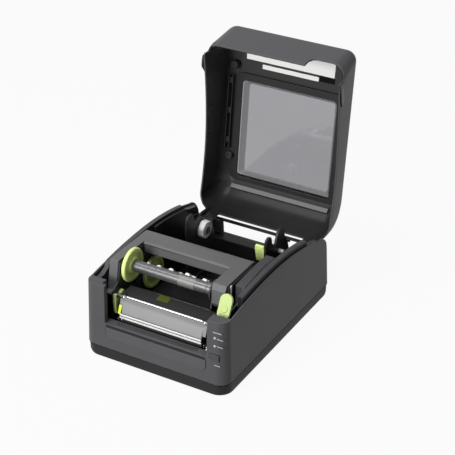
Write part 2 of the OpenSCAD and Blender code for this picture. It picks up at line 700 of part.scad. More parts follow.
module main_board() color([0.1, 0.32, 0.2]) translate([0, board_y, board_z]) {
    translate([-board_w / 2, -board_d / 2, 0]) cube([board_w, board_d, 1.6]);
    for (c = [[-40, -30, 14, 14, 2], [-8, -30, 20, 20, 2], [30, -28, 12, 18, 3], [-36, 10, 22, 10, 3.4], [14, 12, 30, 8, 2.4]])
        translate([c[0], c[1], 1.6 - eps]) cube([c[2], c[3], c[4]]);
}

module stepper_motor() color(steel) difference() {
    union() {
        slab(cheek_x - 36, cheek_x - 0.2, motor_y - motor_size / 2, motor_y + motor_size / 2,
            motor_z - motor_size / 2, motor_z + motor_size / 2);
        pin_x(cheek_x - 1, cheek_x + cheek_t - 0.5, motor_y, motor_z, motor_size / 2 - 3);
    }
    pin_x(cheek_x - 20, cheek_x + 5, motor_y, motor_z, motor_shaft_r + shaft_fit);
    slab(cheek_x - 30, cheek_x - 8, motor_y - motor_size / 2 - 1, motor_y + motor_size / 2 + 1,
        motor_z + motor_size / 2 - 1, motor_z + motor_size / 2 + 1);
}

module platen_bushes() color(brass) both_sides() difference() {
    union() {
        pin_x(cheek_x - 1.2, cheek_x + cheek_t + 0.6, -platen_y, platen_z, bush_r);
        pin_x(cheek_x - 1.2, cheek_x - 0.1, -platen_y, platen_z, bush_r + 1.5);
    }
    pin_x(cheek_x - 3, cheek_x + cheek_t + 3, -platen_y, platen_z, shaft_r + shaft_fit);
}

module media_guide_plate() color(dark) difference() {
    union() {
        slab(-cheek_x - cheek_t, cheek_x + cheek_t, -platen_y + 11, bay_y0 - wall - 1, guide_z, guide_z + guide_t);
        for (i = [0 : 10]) slab(-50 + i * 10 - 0.6, -50 + i * 10 + 0.6, -platen_y + 12, -platen_y + 40,
            guide_z + guide_t - eps, guide_z + guide_t + 0.8);
    }
    slab(-cheek_x + 11.5, cheek_x - 11.5, sensor_y - 3, sensor_y + 3, guide_z - 1, guide_z + guide_t + 2);
}

module sensor_rod() color(steel)
    pin_x(-cheek_x - cheek_t + 0.2, cheek_x + cheek_t - 0.2, sensor_y, sensor_rod_z, sensor_rod_r);

module holder_rods() color(steel)
    for (y = rod_ys) pin_x(-side_in + 0.2, side_in - 0.2, y, rod_z, rod_r);

module lid_hinge_pins() color(steel) both_sides() {
    pin_x(ear_x0 - 1.6, lid_pin_end - 0.1, hinge_y, lid_hinge_z, lid_pin_r);
    pin_x(ear_x0 - 2.2, ear_x0 - 0.6, hinge_y, lid_hinge_z, lid_pin_r + 1.5);
}

module module_hinge_pins() color(steel) {
    pin_x(-mod_pin_end + 0.1, -72, mod_y, mod_z, mod_pin_r);
    pin_x(51, mod_pin_end - 0.1, mod_y, mod_z, mod_pin_r);
}

module catch_pin() color(steel)
    pin_x(-upright_x - wall + 0.2, -hook_in, hook_pin_y, hook_pin_z, hook_pin_r);

// ---- Platen and its gears ----

platen_turn = 0;
idler_turn = mesh_turn(atan2(idler_pos[1] - platen_gear_pos[1], idler_pos[0] - platen_gear_pos[0]),
    platen_turn, platen_teeth, idler_teeth);
pinion_turn = mesh_turn(atan2(pinion_pos[1] - idler_pos[1], pinion_pos[0] - idler_pos[0]),
    idler_turn, idler_teeth, pinion_teeth);

module platen_roller() color(dark) difference() {
    pin_x(-platen_l / 2, platen_l / 2, -platen_y, platen_z, platen_dia / 2);
    pin_x(-platen_l / 2 - 1, platen_l / 2 + 1, -platen_y, platen_z, shaft_r);
}

module platen_shaft() color(steel) {
    pin_x(-cheek_x - cheek_t - 3, gear_x + gear_w + 1, -platen_y, platen_z, shaft_r);
    pin_x(-cheek_x - cheek_t - 3.4, -cheek_x - cheek_t - 1, -platen_y, platen_z, shaft_r + 1.2);
}

module platen_gear() color(pale_grey)
    gear_x_axis(gear_x, gear_x + gear_w, platen_gear_pos, platen_turn, platen_teeth, shaft_r + press_fit);

module idler_gear() color(pale_grey) difference() {
    gear_x_axis(gear_x, gear_x + gear_w, idler_pos, idler_turn, idler_teeth, 3 + shaft_fit);
    for (a = [0 : 72 : 288]) translate([0, idler_pos[0], idler_pos[1]]) rotate([a, 0, 0])
        pin_x(gear_x - 1, gear_x + gear_w + 1, 7.2, 0, 2);
}

module motor_pinion() color(brass) {
    gear_x_axis(gear_x, gear_x + gear_w, pinion_pos, pinion_turn, pinion_teeth, motor_shaft_r - 0.5);
    pin_x(cheek_x - 12, gear_x + gear_w + 1, motor_y, motor_z, motor_shaft_r);
}

module media_sensor() color(dark) difference() {
    union() {
        slab(-9, 9, sensor_y - 5, sensor_y + 5, sensor_rod_z - 3.5, guide_z - part_gap);
        slab(-6, 6, sensor_y - 2, sensor_y + 2, guide_z - 1, guide_z + guide_t - 0.5);
    }
    pin_x(-10, 10, sensor_y, sensor_rod_z, sensor_rod_r + shaft_fit);
}

// ---- Media holders ----

holder_x = media_w / 2;
holder_travel = (media_w - media_min_w) / 2;
foot_w = 3.5;
foot_top_z = rod_z + rod_r + 2;
rack_t = 4;
rack_reach = 6;
rack_front = roll_y - holder_pinion_r;
axle_r = 4;
hub_l = 8.6;
lock_x = holder_x - 13;
lock_y = roll_y - 34;
lock_z = 86;
lock_travel = 4;

module rack_outline(x0, x1) {
    pitch = PI * gear_m;
    i0 = ceil(x0 / pitch);
    i1 = floor(x1 / pitch) - 1;
    translate([x0, -1.2 * gear_m - rack_t]) square([x1 - x0, rack_t]);
    for (i = [i0 : i1]) translate([(i + 0.5) * pitch, 0])
        polygon([[-1.15, -1.2], [-1.15, -1.25], [1.15, -1.25], [1.15, -1.2], [0.68, 0], [0.34, 0.9], [-0.34, 0.9],
            [-0.68, 0]] * gear_m);
}

// Foot that slides on the rods, with a rack and a channel for the rack of the other holder
module holder_foot() {
    difference() {
        slab(-holder_x - holder_t, -holder_x + foot_w, roll_y - 35, roll_y + 36, rack_z0, foot_top_z);
        for (y = rod_ys) pin_x(-holder_x - holder_t - 1, -holder_x + foot_w + 1, y, rod_z, rod_r + shaft_fit);
        slab(-holder_x - holder_t - 1, -holder_x + foot_w + 1, roll_y + holder_pinion_r - gear_m - part_gap,
            roll_y + holder_pinion_r + 1.2 * gear_m + rack_t + part_gap, 0, rack_z1 + part_gap);
    }
    translate([0, rack_front, rack_z0]) linear_extrude(rack_z1 - rack_z0)
        rack_outline(-holder_x + foot_w - 1, rack_reach);
}

module left_outline() {
    polygon([
        [roll_y - 35, rack_z0], [roll_y - 35, 62], [roll_y - 37, 92], [roll_y - 36.5, 112], [roll_y - 33, 118],
        [roll_y - 23, 118], [roll_y - 19, 112], [roll_y - 16, 100], [roll_y, 100], [roll_y + 15, 96.5],
        [roll_y + 25, 96.5], [roll_y + 27, 88], [roll_y + 28.5, 75], [roll_y + 34, 60], [roll_y + 36, rack_z0]
    ]);
    translate([roll_y, roll_z]) circle(hub_dia / 2 + 3.5);
}

module right_outline() {
    polygon([
        [roll_y - 35, rack_z0], [roll_y - 35, 108], [roll_y - 33, 116], [roll_y - 27, 118.5], [roll_y - 21, 116],
        [roll_y - 18.5, 106], [roll_y - 13, 99], [roll_y - 7, 101], [roll_y - 4, 111], [roll_y, 116.5],
        [roll_y + 7, 117.5], [roll_y + 13, 113], [roll_y + 15.5, 101], [roll_y + 24, 89], [roll_y + 28, 76],
        [roll_y + 34, 60], [roll_y + 36, rack_z0]
    ]);
    translate([roll_y, roll_z]) circle(hub_dia / 2 + 3.5);
}

module left_holder() color(charcoal) {
    difference() {
        along_x(-holder_x - holder_t, -holder_x) left_outline();
        // Windows that lighten the plate
        for (w = [[roll_y - 29, 34, 16, 22], [roll_y + 8, 34, 18, 22]])
            slab(-holder_x - holder_t - 1, -holder_x - holder_t + 1.6, w[0], w[0] + w[2], w[1], w[1] + w[3]);
        for (y = rod_ys) pin_x(-holder_x - holder_t - 1, -holder_x + 1, y, rod_z, rod_r + shaft_fit);
        slab(-holder_x - holder_t - 1, -holder_x + 1, roll_y + holder_pinion_r - gear_m - part_gap,
            roll_y + holder_pinion_r + 1.2 * gear_m + rack_t + part_gap, 0, rack_z1 + part_gap);
    }
    holder_foot();
    pin_x(-holder_x - eps, -holder_x + part_gap + hub_l + 0.5, roll_y, roll_z, axle_r);
    pin_x(-holder_x + part_gap + hub_l + 0.3, -holder_x + part_gap + hub_l + 1.5, roll_y, roll_z, axle_r + 1);
}

module right_holder() color(charcoal) {
    difference() {
        along_x(holder_x, holder_x + holder_t) right_outline();
        for (w = [[roll_y - 25, 34, 12, 22], [roll_y + 8, 34, 18, 22]])
            slab(holder_x + holder_t - 1.6, holder_x + holder_t + 1, w[0], w[0] + w[2], w[1], w[1] + w[3]);
        for (y = rod_ys) pin_x(holder_x - 1, holder_x + holder_t + 1, y, rod_z, rod_r + shaft_fit);
        slab(holder_x - 1, holder_x + holder_t + 1, roll_y - holder_pinion_r - 1.2 * gear_m - rack_t - part_gap,
            roll_y - holder_pinion_r + gear_m + part_gap, 0, rack_z1 + part_gap);
        // Channel of the lock
        slab(holder_x - 1, holder_x + 2.4, lock_y - part_gap, lock_y + 4 + part_gap, 60, 110);
    }
    translate([0, 2 * roll_y, 0]) rotate(180) holder_foot();
    pin_x(holder_x - part_gap - hub_l - 0.5, holder_x + eps, roll_y, roll_z, axle_r);
    pin_x(holder_x - part_gap - hub_l - 1.5, holder_x - part_gap - hub_l - 0.3, roll_y, roll_z, axle_r + 1);
    // Pin that stands out of the rear edge
    pin_x(holder_x + holder_t - eps, holder_x + holder_t + 5, roll_y + 20, 92, 2);
}

module hub() {
    difference() {
        rotate([0, 90, 0]) rotate_extrude() polygon([
            [axle_r + shaft_fit, 0], [hub_dia / 2, 0], [hub_dia / 2, hub_l - 3], [hub_dia / 2 - 2, hub_l],
            [hub_dia / 2 - 3.5, hub_l], [hub_dia / 2 - 3.5, 2.5], [axle_r + 2.2, 2.5], [axle_r + 2.2, hub_l],
            [axle_r + shaft_fit, hub_l]
        ]);
        for (a = [0 : 90 : 270]) rotate([a, 0, 0])
            translate([hub_l - 4, -1.6, hub_dia / 2 - 5]) cube([6, 3.2, 6]);
    }
}

module left_hub() color(pale_grey) translate([-holder_x + part_gap, roll_y, roll_z]) hub();
module right_hub() color(pale_grey) translate([holder_x - part_gap, roll_y, roll_z]) rotate([0, 0, 180]) hub();

module holder_pinion() color(pale_grey) translate([0, roll_y, rack_z0]) difference() {
    linear_extrude(rack_z1 - rack_z0) gear_outline(holder_pinion_teeth);
    translate([0, 0, -1]) cylinder(h = 10, r = 3 + shaft_fit);
}

module holder_lock() color(lime) {
    along_y(lock_y, lock_y + 4) polygon([
        [lock_x + 2, lock_z], [holder_x - 1, lock_z], [holder_x - 1, lock_z + 21], [lock_x, lock_z + 21], [lock_x - 0.5, lock_z + 17]
    ]);
    slab(holder_x - 1 - eps, holder_x + 2, lock_y, lock_y + 4, lock_z - 20, lock_z + 18);
    for (i = [0 : 4]) slab(lock_x + 3, holder_x - 3, lock_y - 0.7, lock_y + eps, lock_z + 4 + 3 * i, lock_z + 5.2 + 3 * i);
}

// ---- Lid, drawn closed and turned open about its hinge ----

lid_half_w = half_w - 2;
lid_front_y = -half_d + 3;
lid_rear_y = hinge_y - 3;
nose_y = lid_front_y - lid_front_out + lid_front_r;
nose_z = lid_top_z - lid_front_r;
bend_y = lid_rear_y - lid_bend_r - 2.5;
bend_z = lid_top_z - lid_fall - lid_bend_r;
bend_arc_r = lid_bend_r - lid_edge_r;
roof_slope = atan((nose_z - bend_z) / (bend_y - nose_y))
    - asin((lid_bend_r - lid_front_r) / norm([bend_y - nose_y, nose_z - bend_z]));
bend_steps = 5;
lid_corner_r = 24;
lid_skirt_z = lid_hinge_z + 10;
media_notch_z = rim_rear_z + 2.5;
ear_x0 = deck_half_w + 1.5;
ear_t = 4;
ear_r = 7.5;
window_y = -4;
window_r = 8;
pane_t = 2;
pane_top = 1.5;
lip = 1.8;
frame_w = 8;
frame_t = 2.6;

module open_lid() {
    translate([0, hinge_y, lid_hinge_z]) rotate([-lid_open, 0, 0]) translate([0, -hinge_y, -lid_hinge_z]) children();
}

function lid_side(z) =
    lid_half_w - lid_draft * max(0, z - rim_front_z) / (lid_top_z - lid_edge_r - rim_front_z);

module lid_ball(y, z, r, inset) both_sides() translate([lid_side(z) - r, y, z])
    sphere(r = r - inset, $fn = round_fn);

module lid_body(inset) {
    hull() {
        both_sides() translate([lid_half_w - lid_corner_r, lid_front_y + lid_corner_r, rim_front_z - 6])
            cylinder(h = eps, r = lid_corner_r - inset, $fn = block_fn);
        both_sides() translate([lid_half_w - lid_corner_r, lid_rear_y - lid_corner_r, lid_skirt_z - (inset > 0 ? 2 : 0)])
            cylinder(h = eps, r = lid_corner_r - inset, $fn = block_fn);
        lid_ball(nose_y, nose_z, lid_front_r, inset);
        for (i = [0 : bend_steps]) let (a = (90 - roof_slope) * i / bend_steps)
            lid_ball(bend_y + bend_arc_r * cos(a), bend_z + bend_arc_r * sin(a), lid_edge_r, inset);
    }
}

// Frame on the slope of the roof; z = 0 is its outer face
module on_roof() {
    translate([0, window_y, nose_z + lid_front_r / cos(roof_slope) - (window_y - nose_y) * tan(roof_slope)])
        rotate([-roof_slope, 0, 0]) children();
}

module lid_shell() color(charcoal) open_lid() {
    difference() {
        lid_body(0);
        lid_body(wall);
        // Sides and front end just above the rim; the rear wall goes on down between the ears
        along_x(-half_w - 1, half_w + 1) polygon(concat(
            [[-half_d - 1, 0], [-half_d - 1, rim_front_z + lid_gap]],
            rim_line(rim_front_y, lid_rear_y - 10, lid_gap, 12), [[lid_rear_y - 10, 0]]
        ));
        both_sides() along_x(ear_x0 + ear_t, half_w + 1) polygon(concat(
            rim_line(lid_rear_y - 10.5, lid_rear_y + 1, lid_gap, 3), [[lid_rear_y + 1, 0], [lid_rear_y - 10.5, 0]]
        ));
        on_roof() translate([0, 0, -20]) linear_extrude(40) round_rect(window_w, window_l, window_r);
        // Room over the fan-fold slot in the rear wall
        slab(-slot_half_w - 3, slot_half_w + 3, lid_rear_y - lid_corner_r, lid_rear_y + 1, 0, media_notch_z);
        // Notches in the front rim
        along_y(lid_front_y - lid_front_out, lid_front_y + 16) polygon([
            [48, 0], [48, rim_front_z + 12], [51, rim_front_z + 18], [56, rim_front_z + 20], [half_w - 12, rim_front_z + 20],
            [half_w - 6, rim_front_z + 17], [half_w - 3.5, rim_front_z + 10], [half_w - 3.5, 0]
        ]);
        along_y(lid_front_y - lid_front_out, lid_front_y + 14) polygon([
            [-half_w + 3.5, 0], [-half_w + 3.5, rim_front_z + 9], [-half_w + 7, rim_front_z + 13],
            [-half_w + 13, rim_front_z + 13], [-half_w + 16, rim_front_z + 9], [-half_w + 16, 0]
        ]);
    }
    // Ears round the hinge pins
    both_sides() along_x(ear_x0, ear_x0 + ear_t) difference() {
        union() {
            translate([hinge_y, lid_hinge_z]) circle(ear_r);
            polygon([
                [hinge_y - 5.3, lid_hinge_z + 5.3], [hinge_y - 5.3, lid_skirt_z + 22], [hinge_y - 9.5, lid_skirt_z + 22],
                [hinge_y - 10.5, lid_skirt_z], [hinge_y - ear_r * 0.8, lid_hinge_z - ear_r * 0.6], [hinge_y, lid_hinge_z],
                [hinge_y + 5.3, lid_hinge_z + 5.3], [hinge_y - 3.2, lid_skirt_z + 9]
            ]);
        }
        translate([hinge_y, lid_hinge_z]) circle(lid_pin_r + shaft_fit);
    }
}

module lid_window() color([0.2, 0.21, 0.22, 0.5]) open_lid() on_roof()
    translate([0, 0, -pane_top - pane_t]) linear_extrude(pane_t)
        round_rect(window_w - 2 * seat_gap, window_l - 2 * seat_gap, window_r - seat_gap);

module window_frame() color(dark) open_lid() difference() {
    intersection() {
        lid_body(wall + seat_gap);
        on_roof() translate([0, 0, -pane_top - pane_t - seat_gap - frame_t]) linear_extrude(20)
            round_rect(window_w + 2 * frame_w, window_l + 2 * frame_w, window_r + 2);
    }
    on_roof() translate([0, 0, -20]) linear_extrude(40)
        round_rect(window_w - 2 * lip, window_l - 2 * lip, window_r - lip);
    on_roof() translate([0, 0, -pane_top - pane_t - seat_gap]) linear_extrude(40)
        round_rect(window_w + seat_gap, window_l + seat_gap, window_r);
}

bar_a = 52;
bar_w = 6;

module window_bar() color(pale_grey) open_lid() intersection() {
    lid_body(wall + seat_gap);
    translate([0, bend_y, bend_z]) rotate([bar_a, 0, 0])
        slab(-window_w / 2 - 2, window_w / 2 + 2, lid_bend_r - wall - 3.4, lid_bend_r - wall - 0.9, -bar_w / 2, bar_w / 2);
}

// ---- Ribbon module ----

cover_top_z = mod_z + module_round_r;
arm_out = 85;
arm_in = 72.7;
plate_top_z = cover_top_z - wall - 0.5;
plate_t = 2;
right_arm_in = 50;
right_arm_out = 69;
bar_front_y = mod_y - 24;
tube_r = spindle_dia / 2;
tube_x0 = -spindle_l / 2 - 8;
tube_x1 = tube_x0 + spindle_l;
stub_r = 4;
rewind_pos = [-rewind_y, rewind_z];
supply_pos = [-supply_y, supply_z];
latch_pos = [-103, 75];
rod_pos = [-113, 79];
rear_rods = [[-60, 58], [-92, 66]];
wheel_gap = 0.7;
ribbon_gear_x = right_arm_in + 2;
ribbon_gear_w = 5;
rewind_gear_r = gear_m * rewind_teeth / 2;
ribbon_idler_r = gear_m * ribbon_idler_teeth / 2;
ribbon_idler_pos = [rewind_pos[0] + rewind_gear_r + ribbon_idler_r, rewind_pos[1]];

module left_arm_outline(g) {
    polygon([
        [-100 + g, cover_top_z - g], [-108 + g, 80 + g], [-90, 80 + g], [-62, 92 + g], [mod_y - 8, mod_z - 10 + g],
        [mod_y, mod_z - 10 + g], [mod_y, cover_top_z - g]
    ]);
}

module right_arm_outline(g) {
    polygon([
        [-84 + g, cover_top_z - g], [-88.5 + g, cover_top_z - 7], [-88.5 + g, 92], [-82 + g, 84 + g],
        [-50, 84 + g], [mod_y - 8, mod_z - 10 + g], [mod_y, mod_z - 10 + g], [mod_y, cover_top_z - g]
    ]);
}

module ribbon_cover() color(charcoal) difference() {
    union() {
        pin_x(-arm_out, right_arm_out, mod_y, mod_z, module_round_r);
        // Rear bar with a stepped front lip
        along_x(-arm_out, right_arm_out) polygon([
            [bar_front_y, mod_z - 2], [bar_front_y, cover_top_z - 2.5], [bar_front_y + 2, cover_top_z - 0.5],
            [bar_front_y + 4, cover_top_z], [mod_y, cover_top_z], [mod_y, cover_top_z - 3],
            [bar_front_y + 3, cover_top_z - 3], [bar_front_y + 2.5, mod_z - 2]
        ]);
        // Left arm with its grip flange
        difference() {
            along_x(-arm_out, -arm_in) left_arm_outline(0);
            along_x(-arm_out + wall, -arm_in + 1) left_arm_outline(wall);
        }
        slab(-arm_out + 1, -arm_in - 0.1, -116, -107, 78, 80.5);
        // Right arm over the gears
        difference() {
            along_x(right_arm_in, right_arm_out) right_arm_outline(0);
            along_x(right_arm_in - 1, right_arm_out - wall) right_arm_outline(wall);
        }
    }
    pin_x(-arm_out - 1, right_arm_out + 1, mod_y, mod_z, mod_pin_r + shaft_fit);
    // Room inside the barrel, and slots for the plates in the front lip
    slab(-arm_in - eps, right_arm_in + eps, mod_y - module_round_r - 1, mod_y + module_round_r - wall, 0, cover_top_z - wall);
    for (x = [-arm_in, right_arm_in - plate_t])
        slab(x - 0.05, x + plate_t + 0.1, bar_front_y - 1, mod_y, 0, cover_top_z - wall);
    pin_x(-arm_in - 3, -arm_in + 1, rewind_pos[0], rewind_pos[1], stub_r + 1);
}

module plate_bores() {
    for (p = [rewind_pos, supply_pos]) translate(p) circle(stub_r + shaft_fit);
    translate([mod_y, mod_z]) circle(mod_pin_r + shaft_fit);
}

module front_bores() {
    translate(latch_pos) circle(latch_r + shaft_fit);
    translate(rod_pos) circle(front_rod_r + press_fit);
    for (p = rear_rods) translate(p) circle(2 + press_fit);
}

latch_r = 3;
front_rod_r = 2.5;

module module_side_plates() color(steel) {
    along_x(-arm_in, -arm_in + plate_t) difference() {
        polygon([
            [-99, plate_top_z], [mod_y + 5, plate_top_z], [mod_y + 8, 108], [mod_y + 5, 60], [-44, 54], [-60, 54], [-90, 62],
            [-98, 66], [-117, 66], [-117, 84], [-104, 92]
        ]);
        plate_bores();
        front_bores();
        translate([-68, 74]) circle(5);
    }
    // Bearing plate with its round boss, inside the gears
    along_x(right_arm_in - plate_t, right_arm_in) difference() {
        union() {
            translate(rewind_pos) circle(13.5);
            translate(supply_pos) circle(13);
            polygon([
                [-86, plate_top_z - 1], [mod_y + 5, plate_top_z - 1], [mod_y + 8, 104], [mod_y + 3, 60], [-44, 55], [-60, 54], [-86, 60],
                [-89.5, 64], [-89.5, 76], [-86, 90]
            ]);
        }
        plate_bores();
        translate(rear_rods[0]) circle(2 + press_fit);
    }
    // Outer plate on the right, from the hinge to the front rod
    along_x(right_arm_out, right_arm_out + plate_t) difference() {
        polygon([
            [-82, plate_top_z], [mod_y, plate_top_z], [mod_y + 8, 104], [mod_y + 2, 84], [-60, 66], [-88, 62], [-98, 66], [-117, 66],
            [-117, 84], [-104, 92], [-86, 100]
        ]);
        translate([mod_y, mod_z]) circle(mod_pin_r + shaft_fit);
        front_bores();
    }
    pin_x(right_arm_in - plate_t, ribbon_gear_x + ribbon_gear_w + 2, ribbon_idler_pos[0], ribbon_idler_pos[1], 2.5);
}

cheek_w = 5;
hook_w = 4.3;
hook_gap = 0.9;
hook_x0 = -arm_in + plate_t + hook_gap;
cover_half_w = -hook_x0 - hook_w - 4.5 - cheek_w;

module head_outline() {
    polygon([
        [-122.5, 59.5], [-121.5, 63], [-117, 73], [-115.6, 76.2], [-115.9, 79], [-114.6, 82], [-111.5, 82.6],
        [-109.5, 81], [-104, 82.5], [-93, 84], [-91.5, 82], [-91.5, 78]
    ]);
}

module head_cover() color(dark) difference() {
    union() {
        along_x(-cover_half_w, cover_half_w) difference() {
            head_outline();
            polygon([
                [-120.3, 59], [-119.6, 62.4], [-114.8, 72.6], [-112.6, 75.2], [-107, 77.8], [-103, 80], [-94, 81.6],
                [-93.7, 77], [-93.7, 59]
            ]);
        }
        both_sides() along_x(cover_half_w - eps, cover_half_w + cheek_w) polygon([
            [-120, 64], [-117, 73], [-115.6, 78], [-112, 82.6], [-104, 82.5], [-93, 84], [-91.5, 82], [-91.5, 66]
        ]);
    }
    along_x(-cover_half_w - cheek_w - 1, cover_half_w + cheek_w + 1) translate(latch_pos) circle(latch_r + part_gap);
    along_x(-cover_half_w - cheek_w - 1, cover_half_w + cheek_w + 1) translate(rod_pos) circle(front_rod_r + press_fit);
    along_x(-cover_half_w - cheek_w - 1, cover_half_w + cheek_w + 1) translate([rear_rods[1][0], rear_rods[1][1]])
        circle(2 + part_gap);
    // Slot along the top of the front rod
    along_x(-cover_half_w + 3, cover_half_w - 3) polygon([[-115, 80.5], [-111.2, 80.5], [-111.2, 84], [-115, 84]]);
}

module guide_rod() color(steel)
    pin_x(-arm_in + 0.2, right_arm_out + plate_t - 0.2, rod_pos[0], rod_pos[1], front_rod_r);

module ribbon_rods() color(steel)
    for (p = rear_rods) pin_x(-arm_in + 0.2, right_arm_out + plate_t - 0.2, p[0], p[1], 2);

module tear_bar() color(steel) along_x(-cover_half_w - 1, cover_half_w + 1) polygon([
    [-124, 55.2], [-122.6, 56.4], [-122.6, 61.2], [-123.6, 61.2], [-124, 60.8]
]);

head_z = platen_z + platen_dia / 2 + seat_gap;
head_t = 3.2;
sink_top_z = 70;
head_lift = 1;

module heat_sink() color(mid_grey) difference() {
    slab(-cover_half_w + 3, cover_half_w - 3, -116, -95, head_z + head_t, sink_top_z);
    for (i = [0 : 13]) slab(-cover_half_w + 8 + 7.4 * i, -cover_half_w + 12 + 7.4 * i, -117, -98.5,
        head_z + head_t + 3, sink_top_z + 1);
    along_x(-cover_half_w, cover_half_w) polygon([[-118, 66], [-116.6, 66], [-113, sink_top_z + 1], [-118, sink_top_z + 1]]);
}

module print_head() color(dark) {
    slab(-cover_half_w + 2, cover_half_w - 2, -118.5, -99, head_z + 0.4, head_z + head_t);
    slab(-cover_half_w + 2, cover_half_w - 2, -116, -111.5, head_z, head_z + 0.4 + eps);
}

spring_y = -96.8;
spring_xs = [-36, 36];
spring_r = 1.8;

module head_springs() color(steel) for (x = spring_xs) translate([x, spring_y, sink_top_z + 0.1]) difference() {
    cylinder(h = 10.6, r = spring_r);
    translate([0, 0, -1]) cylinder(h = 14, r = spring_r - 0.5);
}

// ---- Ribbon spindles ----

module spindle(pos) {
    difference() {
        union() {
            pin_x(tube_x0, tube_x1, pos[0], pos[1], tube_r);
            pin_x(-arm_in - 2, ribbon_gear_x + ribbon_gear_w + 1, pos[0], pos[1], stub_r);
            // Spring blade along the tube
            translate([0, pos[0], pos[1]]) along_x(tube_x0 + 12, tube_x1 - 12)
                polygon([[-1.6, tube_r - 1], [-1.2, tube_r + 0.9], [1.2, tube_r + 0.9], [1.6, tube_r - 1]]);
        }
        // Slots round the tube
        for (a = [50 : 40 : 330]) translate([0, pos[0], pos[1]]) rotate([a, 0, 0]) {
            slab(tube_x0 + 6, tube_x0 + 44, -1.3, 1.3, tube_r - 1.6, tube_r + 2);
            slab(tube_x1 - 44, tube_x1 - 6, -1.3, 1.3, tube_r - 1.6, tube_r + 2);
        }
    }
}

module hand_wheel(pos) {
    x0 = -arm_in + plate_t + wheel_gap;
    r = wheel_dia / 2;
    translate([0, pos[0], pos[1]]) along_x(x0, x0 + wheel_t) difference() {
        union() {
            circle(r - 1.4);
            for (i = [0 : wheel_ribs - 1]) rotate(360 * i / wheel_ribs) translate([r - 2.4, -1.6]) polygon([
                [0, 0], [2, 0.3], [2.4, 1.1], [2.4, 2.1], [2, 2.9], [0, 3.2]
            ]);
        }
        circle(stub_r + press_fit);
        for (a = [0 : 60 : 300]) rotate(a) translate([r * 0.58, 0]) circle(r * 0.17);
    }
    translate([0, pos[0], pos[1]]) difference() {
        pin_x(x0 + wheel_t - eps, x0 + wheel_t + 1.5, 0, 0, tube_r + 2);
        pin_x(x0 + wheel_t - 1, x0 + wheel_t + 3, 0, 0, stub_r + press_fit);
    }
}

module rewind_spindle() color(steel) spindle(rewind_pos);
module supply_spindle() color(steel) spindle(supply_pos);
module rewind_wheel() color(lime) hand_wheel(rewind_pos);
module supply_wheel() color(lime) hand_wheel(supply_pos);

module rewind_gear() color(pale_grey)
    gear_x_axis(ribbon_gear_x, ribbon_gear_x + ribbon_gear_w, rewind_pos, 0, rewind_teeth, stub_r + press_fit);

module ribbon_idler_gear() color(pale_grey)
    gear_x_axis(ribbon_gear_x, ribbon_gear_x + ribbon_gear_w, ribbon_idler_pos,
        mesh_turn(0, 0, rewind_teeth, ribbon_idler_teeth), ribbon_idler_teeth, 2.5 + shaft_fit);

module supply_brake() color(dark) difference() {
    pin_x(right_arm_in + eps, ribbon_gear_x + 6, supply_pos[0], supply_pos[1], 10);
    pin_x(right_arm_in - 1, ribbon_gear_x + 8, supply_pos[0], supply_pos[1], stub_r + shaft_fit);
}

// ---- Latch ----

module latch_shaft() color(steel) pin_x(-77, 83, latch_pos[0], latch_pos[1], latch_r);

module left_latch() color(lime) difference() {
    union() {
        pin_x(hook_x0, hook_x0 + hook_w, latch_pos[0], latch_pos[1], latch_r + 3);
        along_x(hook_x0, hook_x0 + hook_w) polygon([
            [-108, 76], [-114.4, 75.8], [-116.1, 77], [-116.2, 82], [-118.2, 82], [-119, 70], [-118, 55.5],
            [-106.5, 55.5], [-106.5, 57.5], [-108, 58.6], [-112.5, 58.6], [-112.5, 66], [-109, 70], [-101, 69.5], [-99, 78]
        ]);
    }
    pin_x(-80, -60, latch_pos[0], latch_pos[1], latch_r + press_fit);
}

pad_x0 = 72.5;
pad_x1 = 89;
pad_l = 32;
pad_lean = 26;
pad_t = 4;

module release_lever() color(lime) difference() {
    union() {
        pin_x(74.5, 80, latch_pos[0], latch_pos[1], latch_r + 3);
        along_x(74.5, 80) polygon([
            [-109, 75], [-106, 69.5], [-100, 69.5], [-98, 76], [-103, 86], [-108, 97], [-113, 95]
        ]);
        // Rounded pad
        translate([(pad_x0 + pad_x1) / 2, -117.5, 93.5]) rotate([90 - pad_lean, 0, 0]) translate([0, pad_l / 2, -pad_t])
            linear_extrude(pad_t) difference() {
                round_rect(pad_x1 - pad_x0, pad_l, (pad_x1 - pad_x0) / 2 - 0.5);
                translate([-(pad_x1 - pad_x0) / 2, -pad_l / 2 + 3]) circle(2);
            }
    }
    pin_x(70, 90, latch_pos[0], latch_pos[1], latch_r + press_fit);
}

// ---- What is drawn ----
base_tray();
rubber_feet();
tray_screws();
housing_shell();
front_panel();
light_pipes();
button_board();
rear_panel();
power_inlet();
usb_socket();
serial_socket();
chassis();
main_board();
stepper_motor();
platen_bushes();
media_guide_plate();
sensor_rod();
holder_rods();
lid_hinge_pins();
module_hinge_pins();
catch_pin();
feed_button();
power_rocker();
platen_roller();
platen_shaft();
platen_gear();
idler_gear();
motor_pinion();
media_sensor();
left_holder();
left_hub();
right_holder();
right_hub();
holder_pinion();
holder_lock();
lid_shell();
lid_window();
window_frame();
window_bar();
ribbon_cover();
module_side_plates();
head_cover();
guide_rod();
ribbon_rods();
tear_bar();
heat_sink();
print_head();
head_springs();
rewind_spindle();
rewind_wheel();
rewind_gear();
supply_spindle();
supply_wheel();
supply_brake();
ribbon_idler_gear();
latch_shaft();
left_latch();
release_lever();
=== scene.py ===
"""Desktop label printer with its window lid open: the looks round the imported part, in metres."""

import json
import math

import bmesh
import bpy
from mathutils import Matrix, Vector
from mathutils.bvhtree import BVHTree


